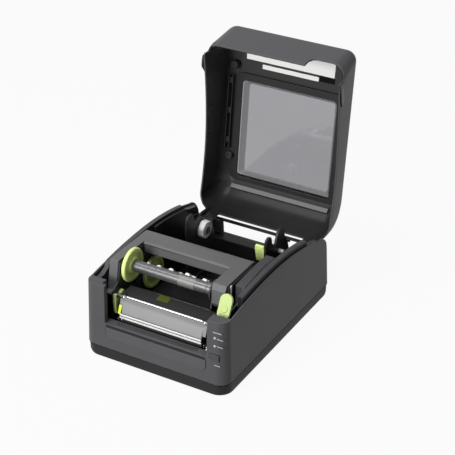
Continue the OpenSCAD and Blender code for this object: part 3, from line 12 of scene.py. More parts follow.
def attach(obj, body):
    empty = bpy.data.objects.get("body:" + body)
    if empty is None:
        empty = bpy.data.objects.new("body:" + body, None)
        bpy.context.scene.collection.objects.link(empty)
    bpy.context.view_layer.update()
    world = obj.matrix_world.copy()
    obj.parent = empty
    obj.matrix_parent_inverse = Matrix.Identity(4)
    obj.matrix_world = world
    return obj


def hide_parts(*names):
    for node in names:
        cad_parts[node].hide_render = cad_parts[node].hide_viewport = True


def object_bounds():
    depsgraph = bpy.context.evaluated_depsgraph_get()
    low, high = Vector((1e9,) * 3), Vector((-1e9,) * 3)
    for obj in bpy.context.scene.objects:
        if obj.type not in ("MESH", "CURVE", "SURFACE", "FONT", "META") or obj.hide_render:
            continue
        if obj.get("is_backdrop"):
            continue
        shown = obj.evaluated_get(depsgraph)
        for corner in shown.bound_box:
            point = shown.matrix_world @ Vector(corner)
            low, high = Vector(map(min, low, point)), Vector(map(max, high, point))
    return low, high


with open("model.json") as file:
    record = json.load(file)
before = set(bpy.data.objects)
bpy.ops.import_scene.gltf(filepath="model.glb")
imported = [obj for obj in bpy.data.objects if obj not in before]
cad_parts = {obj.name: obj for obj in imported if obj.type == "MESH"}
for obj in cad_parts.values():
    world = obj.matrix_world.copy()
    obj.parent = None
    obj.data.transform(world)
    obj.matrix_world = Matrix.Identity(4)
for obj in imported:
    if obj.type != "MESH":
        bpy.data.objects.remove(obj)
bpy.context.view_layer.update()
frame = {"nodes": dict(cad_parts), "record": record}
nodes = frame["nodes"]
MM = 0.001

# ---- Viewpoint ----
# A long lens looks down on the right front corner of the printer from just under
# two metres, thirty degrees up, and is rolled by half a degree.
CAMERA_PLACE = (0.77157, -1.33048, 1.01579)
CAMERA_AZIMUTH = math.radians(29.409)
CAMERA_ELEVATION = math.radians(29.752)
CAMERA_ROLL = math.radians(0.477)
CAMERA_LENS_MM = 113.8
SENSOR_WIDTH_MM = 36
CLIP_RANGE = (0.05, 50)

camera_data = bpy.data.cameras.new("camera")
camera_data.lens = CAMERA_LENS_MM
camera_data.sensor_width = SENSOR_WIDTH_MM
camera_data.clip_start, camera_data.clip_end = CLIP_RANGE
camera = bpy.data.objects.new("camera", camera_data)
bpy.context.scene.collection.objects.link(camera)
camera.matrix_world = (
    Matrix.Translation(CAMERA_PLACE)
    @ Matrix.Rotation(CAMERA_AZIMUTH, 4, "Z")
    @ Matrix.Rotation(math.pi / 2 - CAMERA_ELEVATION, 4, "X")
    @ Matrix.Rotation(CAMERA_ROLL, 4, "Z")
)
bpy.context.scene.camera = camera
bpy.context.scene.view_settings.view_transform = "Standard"

# ---- Table and studio light ----
# The printer stands on a white sweep under two large soft boxes, one overhead and
# one low in front on the left; the sweep and the walls show as white round it.
FLOOR_SIZE = 8.0
FLOOR_BELOW_FEET = 0.2 * MM
FLOOR_COLOUR = (0.42, 0.42, 0.42, 1)
FLOOR_GLOW = 0.94
SKY_LIGHT = 0.2


def seen_directly(tree):
    """A factor that is 1 for what the eye, a mirror or a clear pane sees directly."""
    path = tree.nodes.new("ShaderNodeLightPath")
    total = path.outputs["Is Camera Ray"]
    for kind in ("Is Glossy Ray", "Is Transmission Ray"):
        either = tree.nodes.new("ShaderNodeMath")
        either.operation = "MAXIMUM"
        tree.links.new(total, either.inputs[0])
        tree.links.new(path.outputs[kind], either.inputs[1])
        total = either.outputs[0]
    return total


def white_sweep():
    """A sheet that shows white where it is seen directly and only reflects the lamps elsewhere."""
    sweep = bpy.data.materials.new("white_sweep")
    sweep.use_nodes = True
    tree = sweep.node_tree
    tree.nodes.clear()
    out = tree.nodes.new("ShaderNodeOutputMaterial")
    matt = tree.nodes.new("ShaderNodeBsdfDiffuse")
    matt.inputs["Color"].default_value = FLOOR_COLOUR
    glow = tree.nodes.new("ShaderNodeEmission")
    share = tree.nodes.new("ShaderNodeMath")
    share.operation = "MULTIPLY"
    share.inputs[1].default_value = FLOOR_GLOW
    mix = tree.nodes.new("ShaderNodeMixShader")
    tree.links.new(seen_directly(tree), share.inputs[0])
    tree.links.new(share.outputs[0], mix.inputs[0])
    tree.links.new(matt.outputs[0], mix.inputs[1])
    tree.links.new(glow.outputs[0], mix.inputs[2])
    tree.links.new(mix.outputs[0], out.inputs[0])
    return sweep


half_floor = FLOOR_SIZE / 2
floor_mesh = bpy.data.meshes.new("table")
floor_corners = [(x * half_floor, y * half_floor, 0) for x, y in ((-1, -1), (1, -1), (1, 1), (-1, 1))]
floor_mesh.from_pydata(floor_corners, [], [(0, 1, 2, 3)])
floor_mesh.materials.append(white_sweep())
floor = bpy.data.objects.new("table", floor_mesh)
floor.location.z = -FLOOR_BELOW_FEET
bpy.context.scene.collection.objects.link(floor)
floor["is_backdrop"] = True

studio = bpy.data.worlds.new("studio")
studio.use_nodes = True
bpy.context.scene.world = studio
studio_tree = studio.node_tree
studio_tree.nodes.clear()
studio_out = studio_tree.nodes.new("ShaderNodeOutputWorld")
white_wall = studio_tree.nodes.new("ShaderNodeBackground")
white_wall.inputs["Color"].default_value = (1, 1, 1, 1)
white_wall.inputs["Strength"].default_value = FLOOR_GLOW
dim_wall = studio_tree.nodes.new("ShaderNodeBackground")
dim_wall.inputs["Strength"].default_value = SKY_LIGHT
wall_mix = studio_tree.nodes.new("ShaderNodeMixShader")
studio_tree.links.new(seen_directly(studio_tree), wall_mix.inputs[0])
studio_tree.links.new(dim_wall.outputs[0], wall_mix.inputs[1])
studio_tree.links.new(white_wall.outputs[0], wall_mix.inputs[2])
studio_tree.links.new(wall_mix.outputs[0], studio_out.inputs[0])


def soft_box(name, place, aim, size, power):
    """A square soft light at a place, turned to the spot it lights."""
    box = bpy.data.lights.new(name, "AREA")
    box.shape = "SQUARE"
    box.size = size
    box.energy = power
    lamp = bpy.data.objects.new(name, box)
    lamp.location = place
    lamp.rotation_mode = "QUATERNION"
    lamp.rotation_quaternion = (Vector(aim) - Vector(place)).to_track_quat("-Z", "Y")
    bpy.context.scene.collection.objects.link(lamp)


soft_box("soft_box_top", (-0.35, -0.45, 1.9), (0, 0, 0.1), 1.0, 25)
soft_box("soft_box_front", (-0.55, -2.1, 0.85), (0, 0, 0.14), 0.9, 42)

# ---- Case ----
# The housing is one injection moulding in charcoal ABS with a fine spark-eroded
# grain; its long edges are rolled over, and a painted highlight makes them a little paler.
# The front panel is a second moulding of the same resin, clipped in below the exit.
GRAIN_PER_METRE = 2600
GRAIN_DEPTH = 0.1 * MM
CLOUDS_PER_METRE = 28
SPECULAR_PLASTIC = 0.17
EDGE_LEAN_STARTS = 0.995
EDGE_LEAN_FULL = 0.8
HIGHLIGHT_GAIN = 1.9
HIGHLIGHT_LIFT = 0.02
GLOSS_SPREAD = (-0.05, 0.06)
WELD_GAP = 0.002 * MM
FLAT_ANGLE = math.radians(0.4)
SHARP_DEGREES = 32
CHARCOAL = (0.074, 0.074, 0.0785)
PANEL_CHARCOAL = (0.082, 0.082, 0.087)

bodies = frame["record"]["behaviour"]["bodies"]
body_of_node = {node: body for body, members in bodies.items() for node in members}


def flat_colour(colour, gain=1.0, lift=0.0):
    """A colour made lighter or darker, as the shader's sockets take it."""
    return tuple(min(1, c * gain + lift) for c in colour) + (1,)


def moulded_plastic(
    name, colour, roughness=0.5, grain=0.12, edge_highlight=0.3, edge=0.7, patch=0.1, shine=SPECULAR_PLASTIC
):
    """A dyed plastic, also for rubber, paint and paper: fine grain, faint clouds, and a painted
    highlight that makes the edges paler.
    """
    plastic = bpy.data.materials.new(name)
    plastic.use_nodes = True
    tree = plastic.node_tree
    shader = tree.nodes["Principled BSDF"]
    shader.inputs["Specular IOR Level"].default_value = shine
    place = tree.nodes.new("ShaderNodeTexCoord")
    cloud = tree.nodes.new("ShaderNodeTexNoise")
    cloud.inputs["Scale"].default_value = CLOUDS_PER_METRE
    cloud.inputs["Detail"].default_value = 4
    tree.links.new(place.outputs["Object"], cloud.inputs["Vector"])
    shade = tree.nodes.new("ShaderNodeMixRGB")
    shade.inputs["Color1"].default_value = flat_colour(colour, 1 - patch)
    shade.inputs["Color2"].default_value = flat_colour(colour, 1 + patch)
    tree.links.new(cloud.outputs["Fac"], shade.inputs["Fac"])
    rolled = tree.nodes.new("ShaderNodeBevel")
    rolled.samples = 6
    rolled.inputs["Radius"].default_value = edge * MM
    true_normal = tree.nodes.new("ShaderNodeNewGeometry")
    lean = tree.nodes.new("ShaderNodeVectorMath")
    lean.operation = "DOT_PRODUCT"
    tree.links.new(rolled.outputs["Normal"], lean.inputs[0])
    tree.links.new(true_normal.outputs["Normal"], lean.inputs[1])
    # Painted highlight: where the rolled normal leans away from the true one, along the edges, the
    # colour is mixed towards a paler copy.
    highlight_share = tree.nodes.new("ShaderNodeMapRange")
    highlight_share.inputs["From Min"].default_value = EDGE_LEAN_STARTS
    highlight_share.inputs["From Max"].default_value = EDGE_LEAN_FULL
    highlight_share.inputs["To Max"].default_value = edge_highlight
    tree.links.new(lean.outputs["Value"], highlight_share.inputs["Value"])
    highlighted = tree.nodes.new("ShaderNodeMixRGB")
    highlighted.inputs["Color2"].default_value = flat_colour(colour, HIGHLIGHT_GAIN, HIGHLIGHT_LIFT)
    tree.links.new(highlight_share.outputs["Result"], highlighted.inputs["Fac"])
    tree.links.new(shade.outputs["Color"], highlighted.inputs["Color1"])
    tree.links.new(highlighted.outputs["Color"], shader.inputs["Base Color"])
    speck = tree.nodes.new("ShaderNodeTexNoise")
    speck.inputs["Scale"].default_value = GRAIN_PER_METRE
    speck.inputs["Detail"].default_value = 2
    tree.links.new(place.outputs["Object"], speck.inputs["Vector"])
    gloss = tree.nodes.new("ShaderNodeMapRange")
    gloss.inputs["To Min"].default_value = roughness + GLOSS_SPREAD[0]
    gloss.inputs["To Max"].default_value = roughness + GLOSS_SPREAD[1]
    tree.links.new(cloud.outputs["Fac"], gloss.inputs["Value"])
    tree.links.new(gloss.outputs["Result"], shader.inputs["Roughness"])
    bump = tree.nodes.new("ShaderNodeBump")
    bump.inputs["Strength"].default_value = grain
    bump.inputs["Distance"].default_value = GRAIN_DEPTH
    tree.links.new(speck.outputs["Fac"], bump.inputs["Height"])
    tree.links.new(rolled.outputs["Normal"], bump.inputs["Normal"])
    tree.links.new(bump.outputs["Normal"], shader.inputs["Normal"])
    return plastic


def dress(finish, *names):
    """Give CAD nodes this finish on their own slots."""
    for name in names:
        for place in nodes[name].material_slots:
            place.material = finish


def round_off(obj, radius, sharp=SHARP_DEGREES, steps=3):
    """Roll the sharp edges of a moulding over and let the broad faces stay flat."""
    for face in obj.data.polygons:
        face.use_smooth = True
    roll = obj.modifiers.new("rolled_edges", "BEVEL")
    roll.width = radius * MM
    roll.segments = steps
    roll.limit_method = "ANGLE"
    roll.angle_limit = math.radians(sharp)
    roll.use_clamp_overlap = False
    roll.miter_outer = "MITER_ARC"
    even = obj.modifiers.new("even_shading", "WEIGHTED_NORMAL")
    even.keep_sharp = True
    even.weight = 80


def skin_of(mesh):
    """The faces of a mesh, ready to be measured from or looked for."""
    return BVHTree.FromPolygons([v.co for v in mesh.vertices], [f.vertices[:] for f in mesh.polygons])


def draw_in(moulding, source, radius):
    """Fix the rolled edges, and draw a point that strays off the moulding's skin back on to it."""
    skin = skin_of(source)
    even = moulding.modifiers["even_shading"]
    even.show_viewport = False
    evaluated = moulding.evaluated_get(bpy.context.evaluated_depsgraph_get())
    rolled = bpy.data.meshes.new_from_object(evaluated)
    even.show_viewport = True
    moulding.modifiers.remove(moulding.modifiers["rolled_edges"])
    for point in rolled.vertices:
        spot, _, _, away = skin.find_nearest(point.co)
        if away > radius / 2 * MM:
            point.co = spot
    moulding.data = rolled


def softened(name, finish, radius=0.6):
    """A moulding of the frame with rolled edges, shown in its place."""
    shape = bmesh.new()
    shape.from_mesh(nodes[name].data)
    bmesh.ops.remove_doubles(shape, verts=shape.verts, dist=WELD_GAP)
    bmesh.ops.dissolve_limit(shape, angle_limit=FLAT_ANGLE, verts=shape.verts, edges=shape.edges)
    mesh = bpy.data.meshes.new(name + "_moulding")
    shape.to_mesh(mesh)
    shape.free()
    mesh.materials.clear()
    mesh.materials.append(finish)
    for face in mesh.polygons:
        face.material_index = 0
    moulding = bpy.data.objects.new(name + "_moulding", mesh)
    bpy.context.scene.collection.objects.link(moulding)
    round_off(moulding, radius)
    draw_in(moulding, nodes[name].data, radius)
    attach(moulding, body_of_node[name])
    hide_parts(name)
    return moulding


case_charcoal = moulded_plastic("case_charcoal", CHARCOAL, roughness=0.46)
panel_charcoal = moulded_plastic("panel_charcoal", PANEL_CHARCOAL, roughness=0.42)
softened("housing_shell", case_charcoal, 0.7)
softened("front_panel", panel_charcoal, 0.4)

# ---- Base tray ----
# The tray is a blacker, rougher moulding that closes the case from below;
# screws from underneath and four pressed-in rubber feet hold and carry it.
tray_black = moulded_plastic("tray_black", (0.017, 0.017, 0.018), roughness=0.5, edge_highlight=0.2)
feet_rubber = moulded_plastic("feet_rubber", (0.02, 0.02, 0.021), roughness=0.75, grain=0.25, edge_highlight=0.05)
softened("base_tray", tray_black, 0.7)
dress(feet_rubber, "rubber_feet")

# ---- Inner frame ----
# The inner frame is moulded in the same resin. Its faces high in the frame that turn up,
# to the front or outward show a charcoal; its other faces, the walls inside the bay, are a
# glossy black as painted shade. The guide plate, gap sensor and rear panel are the same black.
LEDGE_FROM_Z = 60 * MM
LEDGE_FROM_X = 80 * MM
LEDGE_UPWARD = 0.3
LEDGE_FRONTWARD = -0.5
LEDGE_CHARCOAL = 1
black_and_bay_shade = moulded_plastic("black_and_bay_shade", (0.012, 0.012, 0.013), roughness=0.42)
ledge_charcoal = moulded_plastic("ledge_charcoal", (0.062, 0.062, 0.066), roughness=0.45)
inner_frame = softened("chassis", black_and_bay_shade, 0.5)
inner_frame.data.materials.append(ledge_charcoal)
# Painted shade: only faces high in the frame that turn up, to the front or outward take the charcoal;
# every other face stays black.
for face in inner_frame.data.polygons:
    outward = face.center.x * face.normal.x > 0 and abs(face.center.x) > LEDGE_FROM_X
    frontward = face.normal.y < LEDGE_FRONTWARD
    if face.center.z > LEDGE_FROM_Z and (face.normal.z > LEDGE_UPWARD or frontward or outward):
        face.material_index = LEDGE_CHARCOAL
dress(black_and_bay_shade, "media_guide_plate", "rear_panel", "power_inlet", "power_rocker", "media_sensor")

# ---- Lid ----
# The lid is a deep thin-walled moulding hinged at the rear, textured outside and
# satin inside, with thin stiffening ribs, window rails and screw bosses on its inner
# faces. Its pieces are drawn on the closed lid and turned open by their place.
HINGE_PLACE = Vector((0, 103, 71)) * MM
LID_OPEN = math.radians(92)
ROOF_SLOPE = math.radians(4.05)
ROOF_MIDDLE_Y = -4
ROOF_MIDDLE = Vector((0, ROOF_MIDDLE_Y, 161.98)) * MM
LID_WALL = 2.5
LID_INSIDE = Vector((0, 150, 190)) * MM
FACES_INSIDE = 0.12
LID_WELL_Z = 100 * MM
LID_SATIN = 1
LID_WELL_BLACK = 2
LID_HALF_W = 98
LID_LEANS_FROM_Z = 103
LID_LEAN = 5 / 44
ROOF_HALF_W = 93
ROOF_EDGE_R = 24
RIB_SPANS = ((-46, 113, -40, 143), (-4, 117, 0, 140), (39, 119, 45, 136))
RIB_OUT = 0.6
RIB_HALF_THICK = 0.6
RIB_FOOT_SUNK = 0.2
RIB_HEAD_CLEAR = 0.6
BOSS_PLACES = ((-80.5, -88), (80.5, -88), (-80.5, 40), (80.5, 40))
RAIL_SPAN = (-74, 30)
RAILS = ((81.6, 1.2, 4.2), (86.0, 1.2, 3.4))
RAIL_SUNK = 0.3
PAD_ALONG = (-66, -24, 18)
PAD_X = 83.8
PAD_SEAT_X = 85
PAD_HALF_W = 2.2
PAD_HALF_L = 4
PAD_TALL = 1.6
PAD_SUNK = 0.6
turn_open = Matrix.Rotation(-LID_OPEN, 4, "X")
opening = Matrix.Translation(HINGE_PLACE) @ turn_open @ Matrix.Translation(-HINGE_PLACE)
roof_place = opening @ Matrix.Translation(ROOF_MIDDLE) @ Matrix.Rotation(-ROOF_SLOPE, 4, "X")


def six_faces(shape, corners):
    """Close eight corner points, in the order of x, y and z halves, into a lump."""
    points = [shape.verts.new(corner) for corner in corners]
    for ring in ((0, 1, 3, 2), (4, 6, 7, 5), (0, 4, 5, 1), (2, 3, 7, 6), (0, 2, 6, 4), (1, 5, 7, 3)):
        shape.faces.new([points[i] for i in ring])


def block(shape, low, high):
    """A rectangular lump between two corners, in millimetres."""
    spans = list(zip(low, high))
    six_faces(shape, [Vector((x, y, z)) * MM for x in spans[0] for y in spans[1] for z in spans[2]])


def on_axis(axis, a, b, along):
    """A point with its two cross measures and its place along one axis, as x, y, z."""
    return Vector({"x": (along, a, b), "y": (a, along, b), "z": (a, b, along)}[axis])


def prism(shape, outline, low, high, axis="z"):
    """An outline in millimetres drawn out along one axis."""
    rings = [[shape.verts.new(on_axis(axis, a, b, h) * MM) for a, b in outline] for h in (low, high)]
    shape.faces.new(rings[0][::-1])
    shape.faces.new(rings[1])
    for i in range(len(outline)):
        j = (i + 1) % len(outline)
        shape.faces.new((rings[0][i], rings[0][j], rings[1][j], rings[1][i]))


def turned(shape, profile, middle=(0, 0, 0), axis="z", steps=40):
    """A profile of (radius, height) pairs in millimetres turned about an axis."""
    rings = []
    for radius, height in profile:
        if radius == 0:
            rings.append([shape.verts.new((on_axis(axis, 0, 0, height) + Vector(middle)) * MM)])
            continue
        ring = []
        for i in range(steps):
            a = 2 * math.pi * i / steps
            spot = on_axis(axis, radius * math.cos(a), radius * math.sin(a), height) + Vector(middle)
            ring.append(shape.verts.new(spot * MM))
        rings.append(ring)
    for lower, upper in zip(rings, rings[1:]):
        for i in range(steps):
            j = (i + 1) % steps
            below, above = len(lower), len(upper)
            face = [lower[i % below], lower[j % below], upper[j % above], upper[i % above]]
            distinct = [v for k, v in enumerate(face) if v not in face[:k]]
            shape.faces.new(distinct)


def hoops(shape, rings, closed=False):
    """Join rings of as many points, each to the next; the last to the first if closed."""
    steps = len(rings[0])
    following = rings[1:] + rings[:1] if closed else rings[1:]
    for a, b in zip(rings, following):
        for i in range(steps):
            j = (i + 1) % steps
            shape.faces.new((a[i], a[j], b[j], b[i]))


def make(name, shape, finish, body, place=None, roll=0.0, replaced=()):
    """Turn a drawn shape into a piece that rides on a body of the frame."""
    bmesh.ops.recalc_face_normals(shape, faces=shape.faces)
    mesh = bpy.data.meshes.new(name)
    shape.to_mesh(mesh)
    shape.free()
    mesh.materials.append(finish)
    piece = bpy.data.objects.new(name, mesh)
    bpy.context.scene.collection.objects.link(piece)
    if place is not None:
        piece.matrix_world = place
    if roll:
        round_off(piece, roll, steps=2)
    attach(piece, body)
    if replaced:
        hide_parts(*replaced)
    return piece


def lid_side_x(z):
    """Half width of the lid's outer face at a height of the closed lid."""
    return LID_HALF_W - LID_LEAN * max(0, z - LID_LEANS_FROM_Z)


lid_inside = moulded_plastic("lid_inside", (0.034, 0.034, 0.036), roughness=0.4, grain=0.06, edge_highlight=0.1)
lid_well = moulded_plastic("lid_well", (0.016, 0.016, 0.017), roughness=0.36, grain=0.05, edge_highlight=0.1)
lid = softened("lid_shell", case_charcoal, 0.7)
lid.data.materials.append(lid_inside)
lid.data.materials.append(lid_well)
for face in lid.data.polygons:
    toward = (LID_INSIDE - face.center).normalized()
    if face.normal.dot(toward) > FACES_INSIDE:
        face.material_index = LID_WELL_BLACK if face.center.z < LID_WELL_Z else LID_SATIN

ribs = bmesh.new()
for y_low, z_low, y_high, z_high in RIB_SPANS:
    for side in (-1, 1):
        foot_x = side * (lid_side_x(z_low) - LID_WALL + RIB_FOOT_SUNK)
        head_x = side * (lid_side_x(z_high) - LID_WALL - RIB_HEAD_CLEAR)
        corners = []
        for x, y, z in ((foot_x, y_low, z_low), (head_x, y_high, z_high)):
            for dx in (0, -side * RIB_OUT):
                for dy in (-RIB_HALF_THICK, RIB_HALF_THICK):
                    corners.append(Vector((x + dx, y + dy, z)) * MM)
        six_faces(ribs, corners)
make("lid_ribs", ribs, lid_inside, "lid", opening, roll=0.25)


def roof_inside(x):
    """How far below the roof's outer face its inner face lies, out at its rounded sides too."""
    past = max(0, abs(x) - (ROOF_HALF_W - ROOF_EDGE_R))
    inner = ROOF_EDGE_R - LID_WALL
    return -ROOF_EDGE_R + math.sqrt(max(0, inner * inner - past * past))


BOSS_PROFILE = ((0, -5.4), (2.2, -5.4), (2.4, -6.4), (4.6, -6.4), (5.2, -5.8), (5.6, 0.2), (0, 0.2))
bosses = bmesh.new()
for x, along in BOSS_PLACES:
    turned(bosses, BOSS_PROFILE, (x, along, roof_inside(x)))
make("lid_bosses", bosses, lid_inside, "lid", roof_place)

rails = bmesh.new()
for side in (-1, 1):
    for x, width, tall in RAILS:
        middle, seat = side * x, roof_inside(x)
        low = (middle - width / 2, RAIL_SPAN[0], seat - tall)
        block(rails, low, (middle + width / 2, RAIL_SPAN[1], seat + RAIL_SUNK))
    for along in PAD_ALONG:
        middle, seat = side * PAD_X, roof_inside(PAD_SEAT_X)
        low = (middle - PAD_HALF_W, along - PAD_HALF_L, seat - PAD_TALL)
        block(rails, low, (middle + PAD_HALF_W, along + PAD_HALF_L, seat + PAD_SUNK))
make("lid_rails", rails, lid_inside, "lid", roof_place, roll=0.3)

# ---- Finger grips ----
# Low round swellings are moulded on both sides of the lid near its front rim,
# where two fingers lift it; their lower edge follows the rise of the case's rim.
GRIP_Y = -104
GRIP_RIM_Z = 104
GRIP_RIM_RISE = 0.65
GRIP_LONG = 16
GRIP_TALL = 15
GRIP_RISE = 2.2
GRIP_SUNK = 0.4
GRIP_STEPS = 24
GRIP_RINGS = 8

grips = bmesh.new()
for side in (-1, 1):
    rings = []
    for step in range(GRIP_RINGS + 1):
        tilt = math.pi / 2 * (1 - step / GRIP_RINGS)
        ring = []
        for i in range(GRIP_STEPS + 1):
            turn = math.pi * i / GRIP_STEPS
            y = GRIP_Y + GRIP_LONG * math.cos(tilt) * math.cos(turn)
            rim = GRIP_RIM_Z + GRIP_RIM_RISE * max(0, y - GRIP_Y)
            z = rim + GRIP_TALL * math.cos(tilt) * math.sin(turn)
            x = lid_side_x(z) - GRIP_SUNK + GRIP_RISE * math.sin(tilt)
            ring.append(grips.verts.new(Vector((side * x, y, z)) * MM))
        rings.append(ring)
    for inner, outer in zip(rings, rings[1:]):
        for i in range(GRIP_STEPS):
            grips.faces.new((inner[i], outer[i], outer[i + 1], inner[i + 1]))
    foot = [ring[0] for ring in rings] + [ring[-1] for ring in rings[::-1]]
    grips.faces.new(foot)
    grips.faces.new(rings[-1])
bmesh.ops.remove_doubles(grips, verts=grips.verts, dist=0.01 * MM)
grip_piece = make("lid_grips", grips, case_charcoal, "lid", opening)
for face in grip_piece.data.polygons:
    face.use_smooth = len(face.vertices) < 5

# ---- Lid window ----
# The window is a shallow moulded pan of smoked polycarbonate: a flat lip held by
# a black frame, a sloping band all round and a flat middle standing a little proud.
# The band is left matt by the mould; the middle is polished.
PANE_HALF_W = 70.7
PANE_HALF_L = 69.7
PANE_CORNER = 7.7
PANE_TIGHTEST_CORNER = 1.2
BAND = 4.5
PANE_RISE = 6.8
PANE_THICK = 1.6
PANE_LIP_OUT = -1.6
BAND_WITHIN = 0.97
MATT_BAND = 1
CLEAR_IOR = 1.45
HAZE_PER_METRE = 9


def clear_plastic(name, colour, roughness):
    """A smoked clear plastic with a faint haze in its tone and gloss."""
    clear = bpy.data.materials.new(name)
    clear.use_nodes = True
    tree = clear.node_tree
    shader = tree.nodes["Principled BSDF"]
    shader.inputs["IOR"].default_value = CLEAR_IOR
    shader.inputs["Transmission Weight"].default_value = 1.0
    place = tree.nodes.new("ShaderNodeTexCoord")
    haze = tree.nodes.new("ShaderNodeTexNoise")
    haze.inputs["Scale"].default_value = HAZE_PER_METRE
    haze.inputs["Detail"].default_value = 3
    tree.links.new(place.outputs["Object"], haze.inputs["Vector"])
    tone = tree.nodes.new("ShaderNodeMixRGB")
    tone.inputs["Color1"].default_value = flat_colour(colour, 0.95)
    tone.inputs["Color2"].default_value = flat_colour(colour, 1.05)
    tree.links.new(haze.outputs["Fac"], tone.inputs["Fac"])
    tree.links.new(tone.outputs["Color"], shader.inputs["Base Color"])
    smear = tree.nodes.new("ShaderNodeMapRange")
    smear.inputs["To Min"].default_value = roughness
    smear.inputs["To Max"].default_value = roughness + 0.04
    tree.links.new(haze.outputs["Fac"], smear.inputs["Value"])
    tree.links.new(smear.outputs["Result"], shader.inputs["Roughness"])
    return clear


def rounded_ring(half_w, half_l, corner, steps=8):
    """Points of a rectangle with round corners, the same number for every size."""
    ring = []
    for quarter, (cx, cy) in enumerate(((1, 1), (-1, 1), (-1, -1), (1, -1))):
        for i in range(steps + 1):
            a = math.pi / 2 * (quarter + i / steps)
            x = cx * (half_w - corner) + corner * math.cos(a)
            ring.append((x, cy * (half_l - corner) + corner * math.sin(a)))
    return ring


pane_smoke = clear_plastic("pane_smoke", (0.335, 0.335, 0.353), 0.02)
band_smoke = clear_plastic("band_smoke", (0.2, 0.2, 0.21), 0.25)
pan = bmesh.new()
lip = PANE_LIP_OUT - PANE_THICK
top = lip + PANE_RISE
sections = ((0, lip), (2.2, lip), (2.8, lip + 0.4), (2.4 + BAND, top - 0.4), (3.2 + BAND, top))
skins = []
for thickness in (0, PANE_THICK):
    rings = []
    for inset, out in sections:
        corner = max(PANE_TIGHTEST_CORNER, PANE_CORNER - inset / 2)
        points = rounded_ring(PANE_HALF_W - inset, PANE_HALF_L - inset, corner)
        rings.append([pan.verts.new(Vector((x, y, out + thickness)) * MM) for x, y in points])
    hoops(pan, rings)
    pan.faces.new(rings[-1])
    skins.append(rings)
hoops(pan, [skins[0][0], skins[1][0]])
pane = make("window_pan", pan, pane_smoke, "lid", roof_place, replaced=("lid_window",))
pane.data.materials.append(band_smoke)
for face in pane.data.polygons:
    across = abs(face.center.x) / (PANE_HALF_W * MM)
    along = abs(face.center.y) / (PANE_HALF_L * MM)
    if len(face.vertices) == 4 and max(across, along) < BAND_WITHIN:
        face.material_index = MATT_BAND
window_black = moulded_plastic("window_black", (0.024, 0.024, 0.025), roughness=0.35, grain=0.05)
softened("window_frame", window_black, 0.5)

# ---- Lid cross rib ----
# A ridge crosses the inside of the lid below the window; it is a separate satin
# moulding in mid grey, cut to the lid's inner shape and welded in.
rib_grey = moulded_plastic("rib_grey", (0.15, 0.15, 0.152), roughness=0.42, grain=0.05)
softened("window_bar", rib_grey, 0.4)

# ---- Lid labels ----
# Two blank white paper labels and a small black one are stuck on the smooth inside
# of the lid, in front of the window.
LABEL_THICK = 0.15
LABEL_CORNER = 1.0

label_white = moulded_plastic("label_white", (0.96, 0.96, 0.94), 0.55, 0.05, 0.0, patch=0.02)
label_black = moulded_plastic("label_black", (0.003, 0.003, 0.003), 0.4, 0.0, 0.0, shine=0.05)


def label(name, low_x, high_x, low_y, high_y, finish):
    """A thin label with tiny round corners on the roof's inner face; y as on the closed lid."""
    face = -LID_WALL - 0.02
    paper = bmesh.new()
    middle_x, middle_y = (low_x + high_x) / 2, (low_y + high_y) / 2 - ROOF_MIDDLE_Y
    edge = rounded_ring((high_x - low_x) / 2, (high_y - low_y) / 2, LABEL_CORNER, 4)
    prism(paper, [(middle_x + x, middle_y + y) for x, y in edge], face - LABEL_THICK, face)
    return make(name, paper, finish, "lid", roof_place)


label("label_large", -67, 61, -125, -101, label_white)
label("label_small", -43, 39, -98, -92, label_white)
label("label_dark", 39.4, 62, -100, -92.8, label_black)

# ---- Column legends, lamps and feed key ----
# Two clear light pipes and a grey feed key sit in the right column of the case.
# Short pale pad-printed bars mark them, a tenth of a millimetre proud of the plastic.
LEGEND_BARS = (
    (81, 93, 89.4, 1.4), (86.5, 95, 81.2, 1.3), (86.5, 95, 71.2, 1.3), (83.5, 92, 44.6, 1.2),
)
LEGEND_PROUD = 0.1
LEGEND_SUNK = 0.3
LEGEND_POINT = 0.4
legend_ink = moulded_plastic("legend_ink", (0.36, 0.36, 0.38), 0.5, 0.05, 0.0, patch=0.05)
case_faces = skin_of(nodes["housing_shell"].data)
legends = bmesh.new()
for left, right, z, tall in LEGEND_BARS:
    face_y = case_faces.ray_cast(Vector((left, -200, z)) * MM, Vector((0, 1, 0)))[0].y / MM
    low, high, shoulder = z - tall / 2, z + tall / 2, right - LEGEND_POINT
    outline = [(left, low), (shoulder, low), (right, z), (shoulder, high), (left, high)]
    prism(legends, outline, face_y - LEGEND_PROUD, face_y + LEGEND_SUNK, "y")
make("column_legends", legends, legend_ink, "printer")
lens_clear = moulded_plastic("lens_clear", (0.5, 0.52, 0.5), roughness=0.2, grain=0.0)
dress(lens_clear, "light_pipes")
key_grey = moulded_plastic("key_grey", (0.06, 0.06, 0.064), roughness=0.42, grain=0.1)
softened("feed_button", key_grey, 0.5)

# ---- Exit comb and lip ----
# A row of fine ribs on the shelf below the tear edge lets the label slide out
# without sticking. A black strip closes the step between the shelf and the panel.
COMB_RIBS = 57
COMB_PITCH = 2
COMB_HALF_THICK = 0.45
COMB_OUTLINE = ((-129, 52), (-136.5, 52), (-136.2, 52.5), (-129.5, 52.9))
LIP_OUTLINE = ((-139.0, 47.4), (-139.4, 47.6), (-139.45, 51.0), (-139.0, 51.4))
LIP_SPAN = (-67.5, 71.5)
comb = bmesh.new()
for i in range(COMB_RIBS):
    x = COMB_PITCH * (i - COMB_RIBS // 2)
    prism(comb, COMB_OUTLINE, x - COMB_HALF_THICK, x + COMB_HALF_THICK, "x")
make("exit_comb", comb, case_charcoal, "printer")
lip_black = moulded_plastic("lip_black", (0.016, 0.016, 0.017), roughness=0.45, grain=0.05, edge_highlight=0.1)
exit_strip = bmesh.new()
prism(exit_strip, LIP_OUTLINE, *LIP_SPAN, "x")
make("exit_lip", exit_strip, lip_black, "printer")

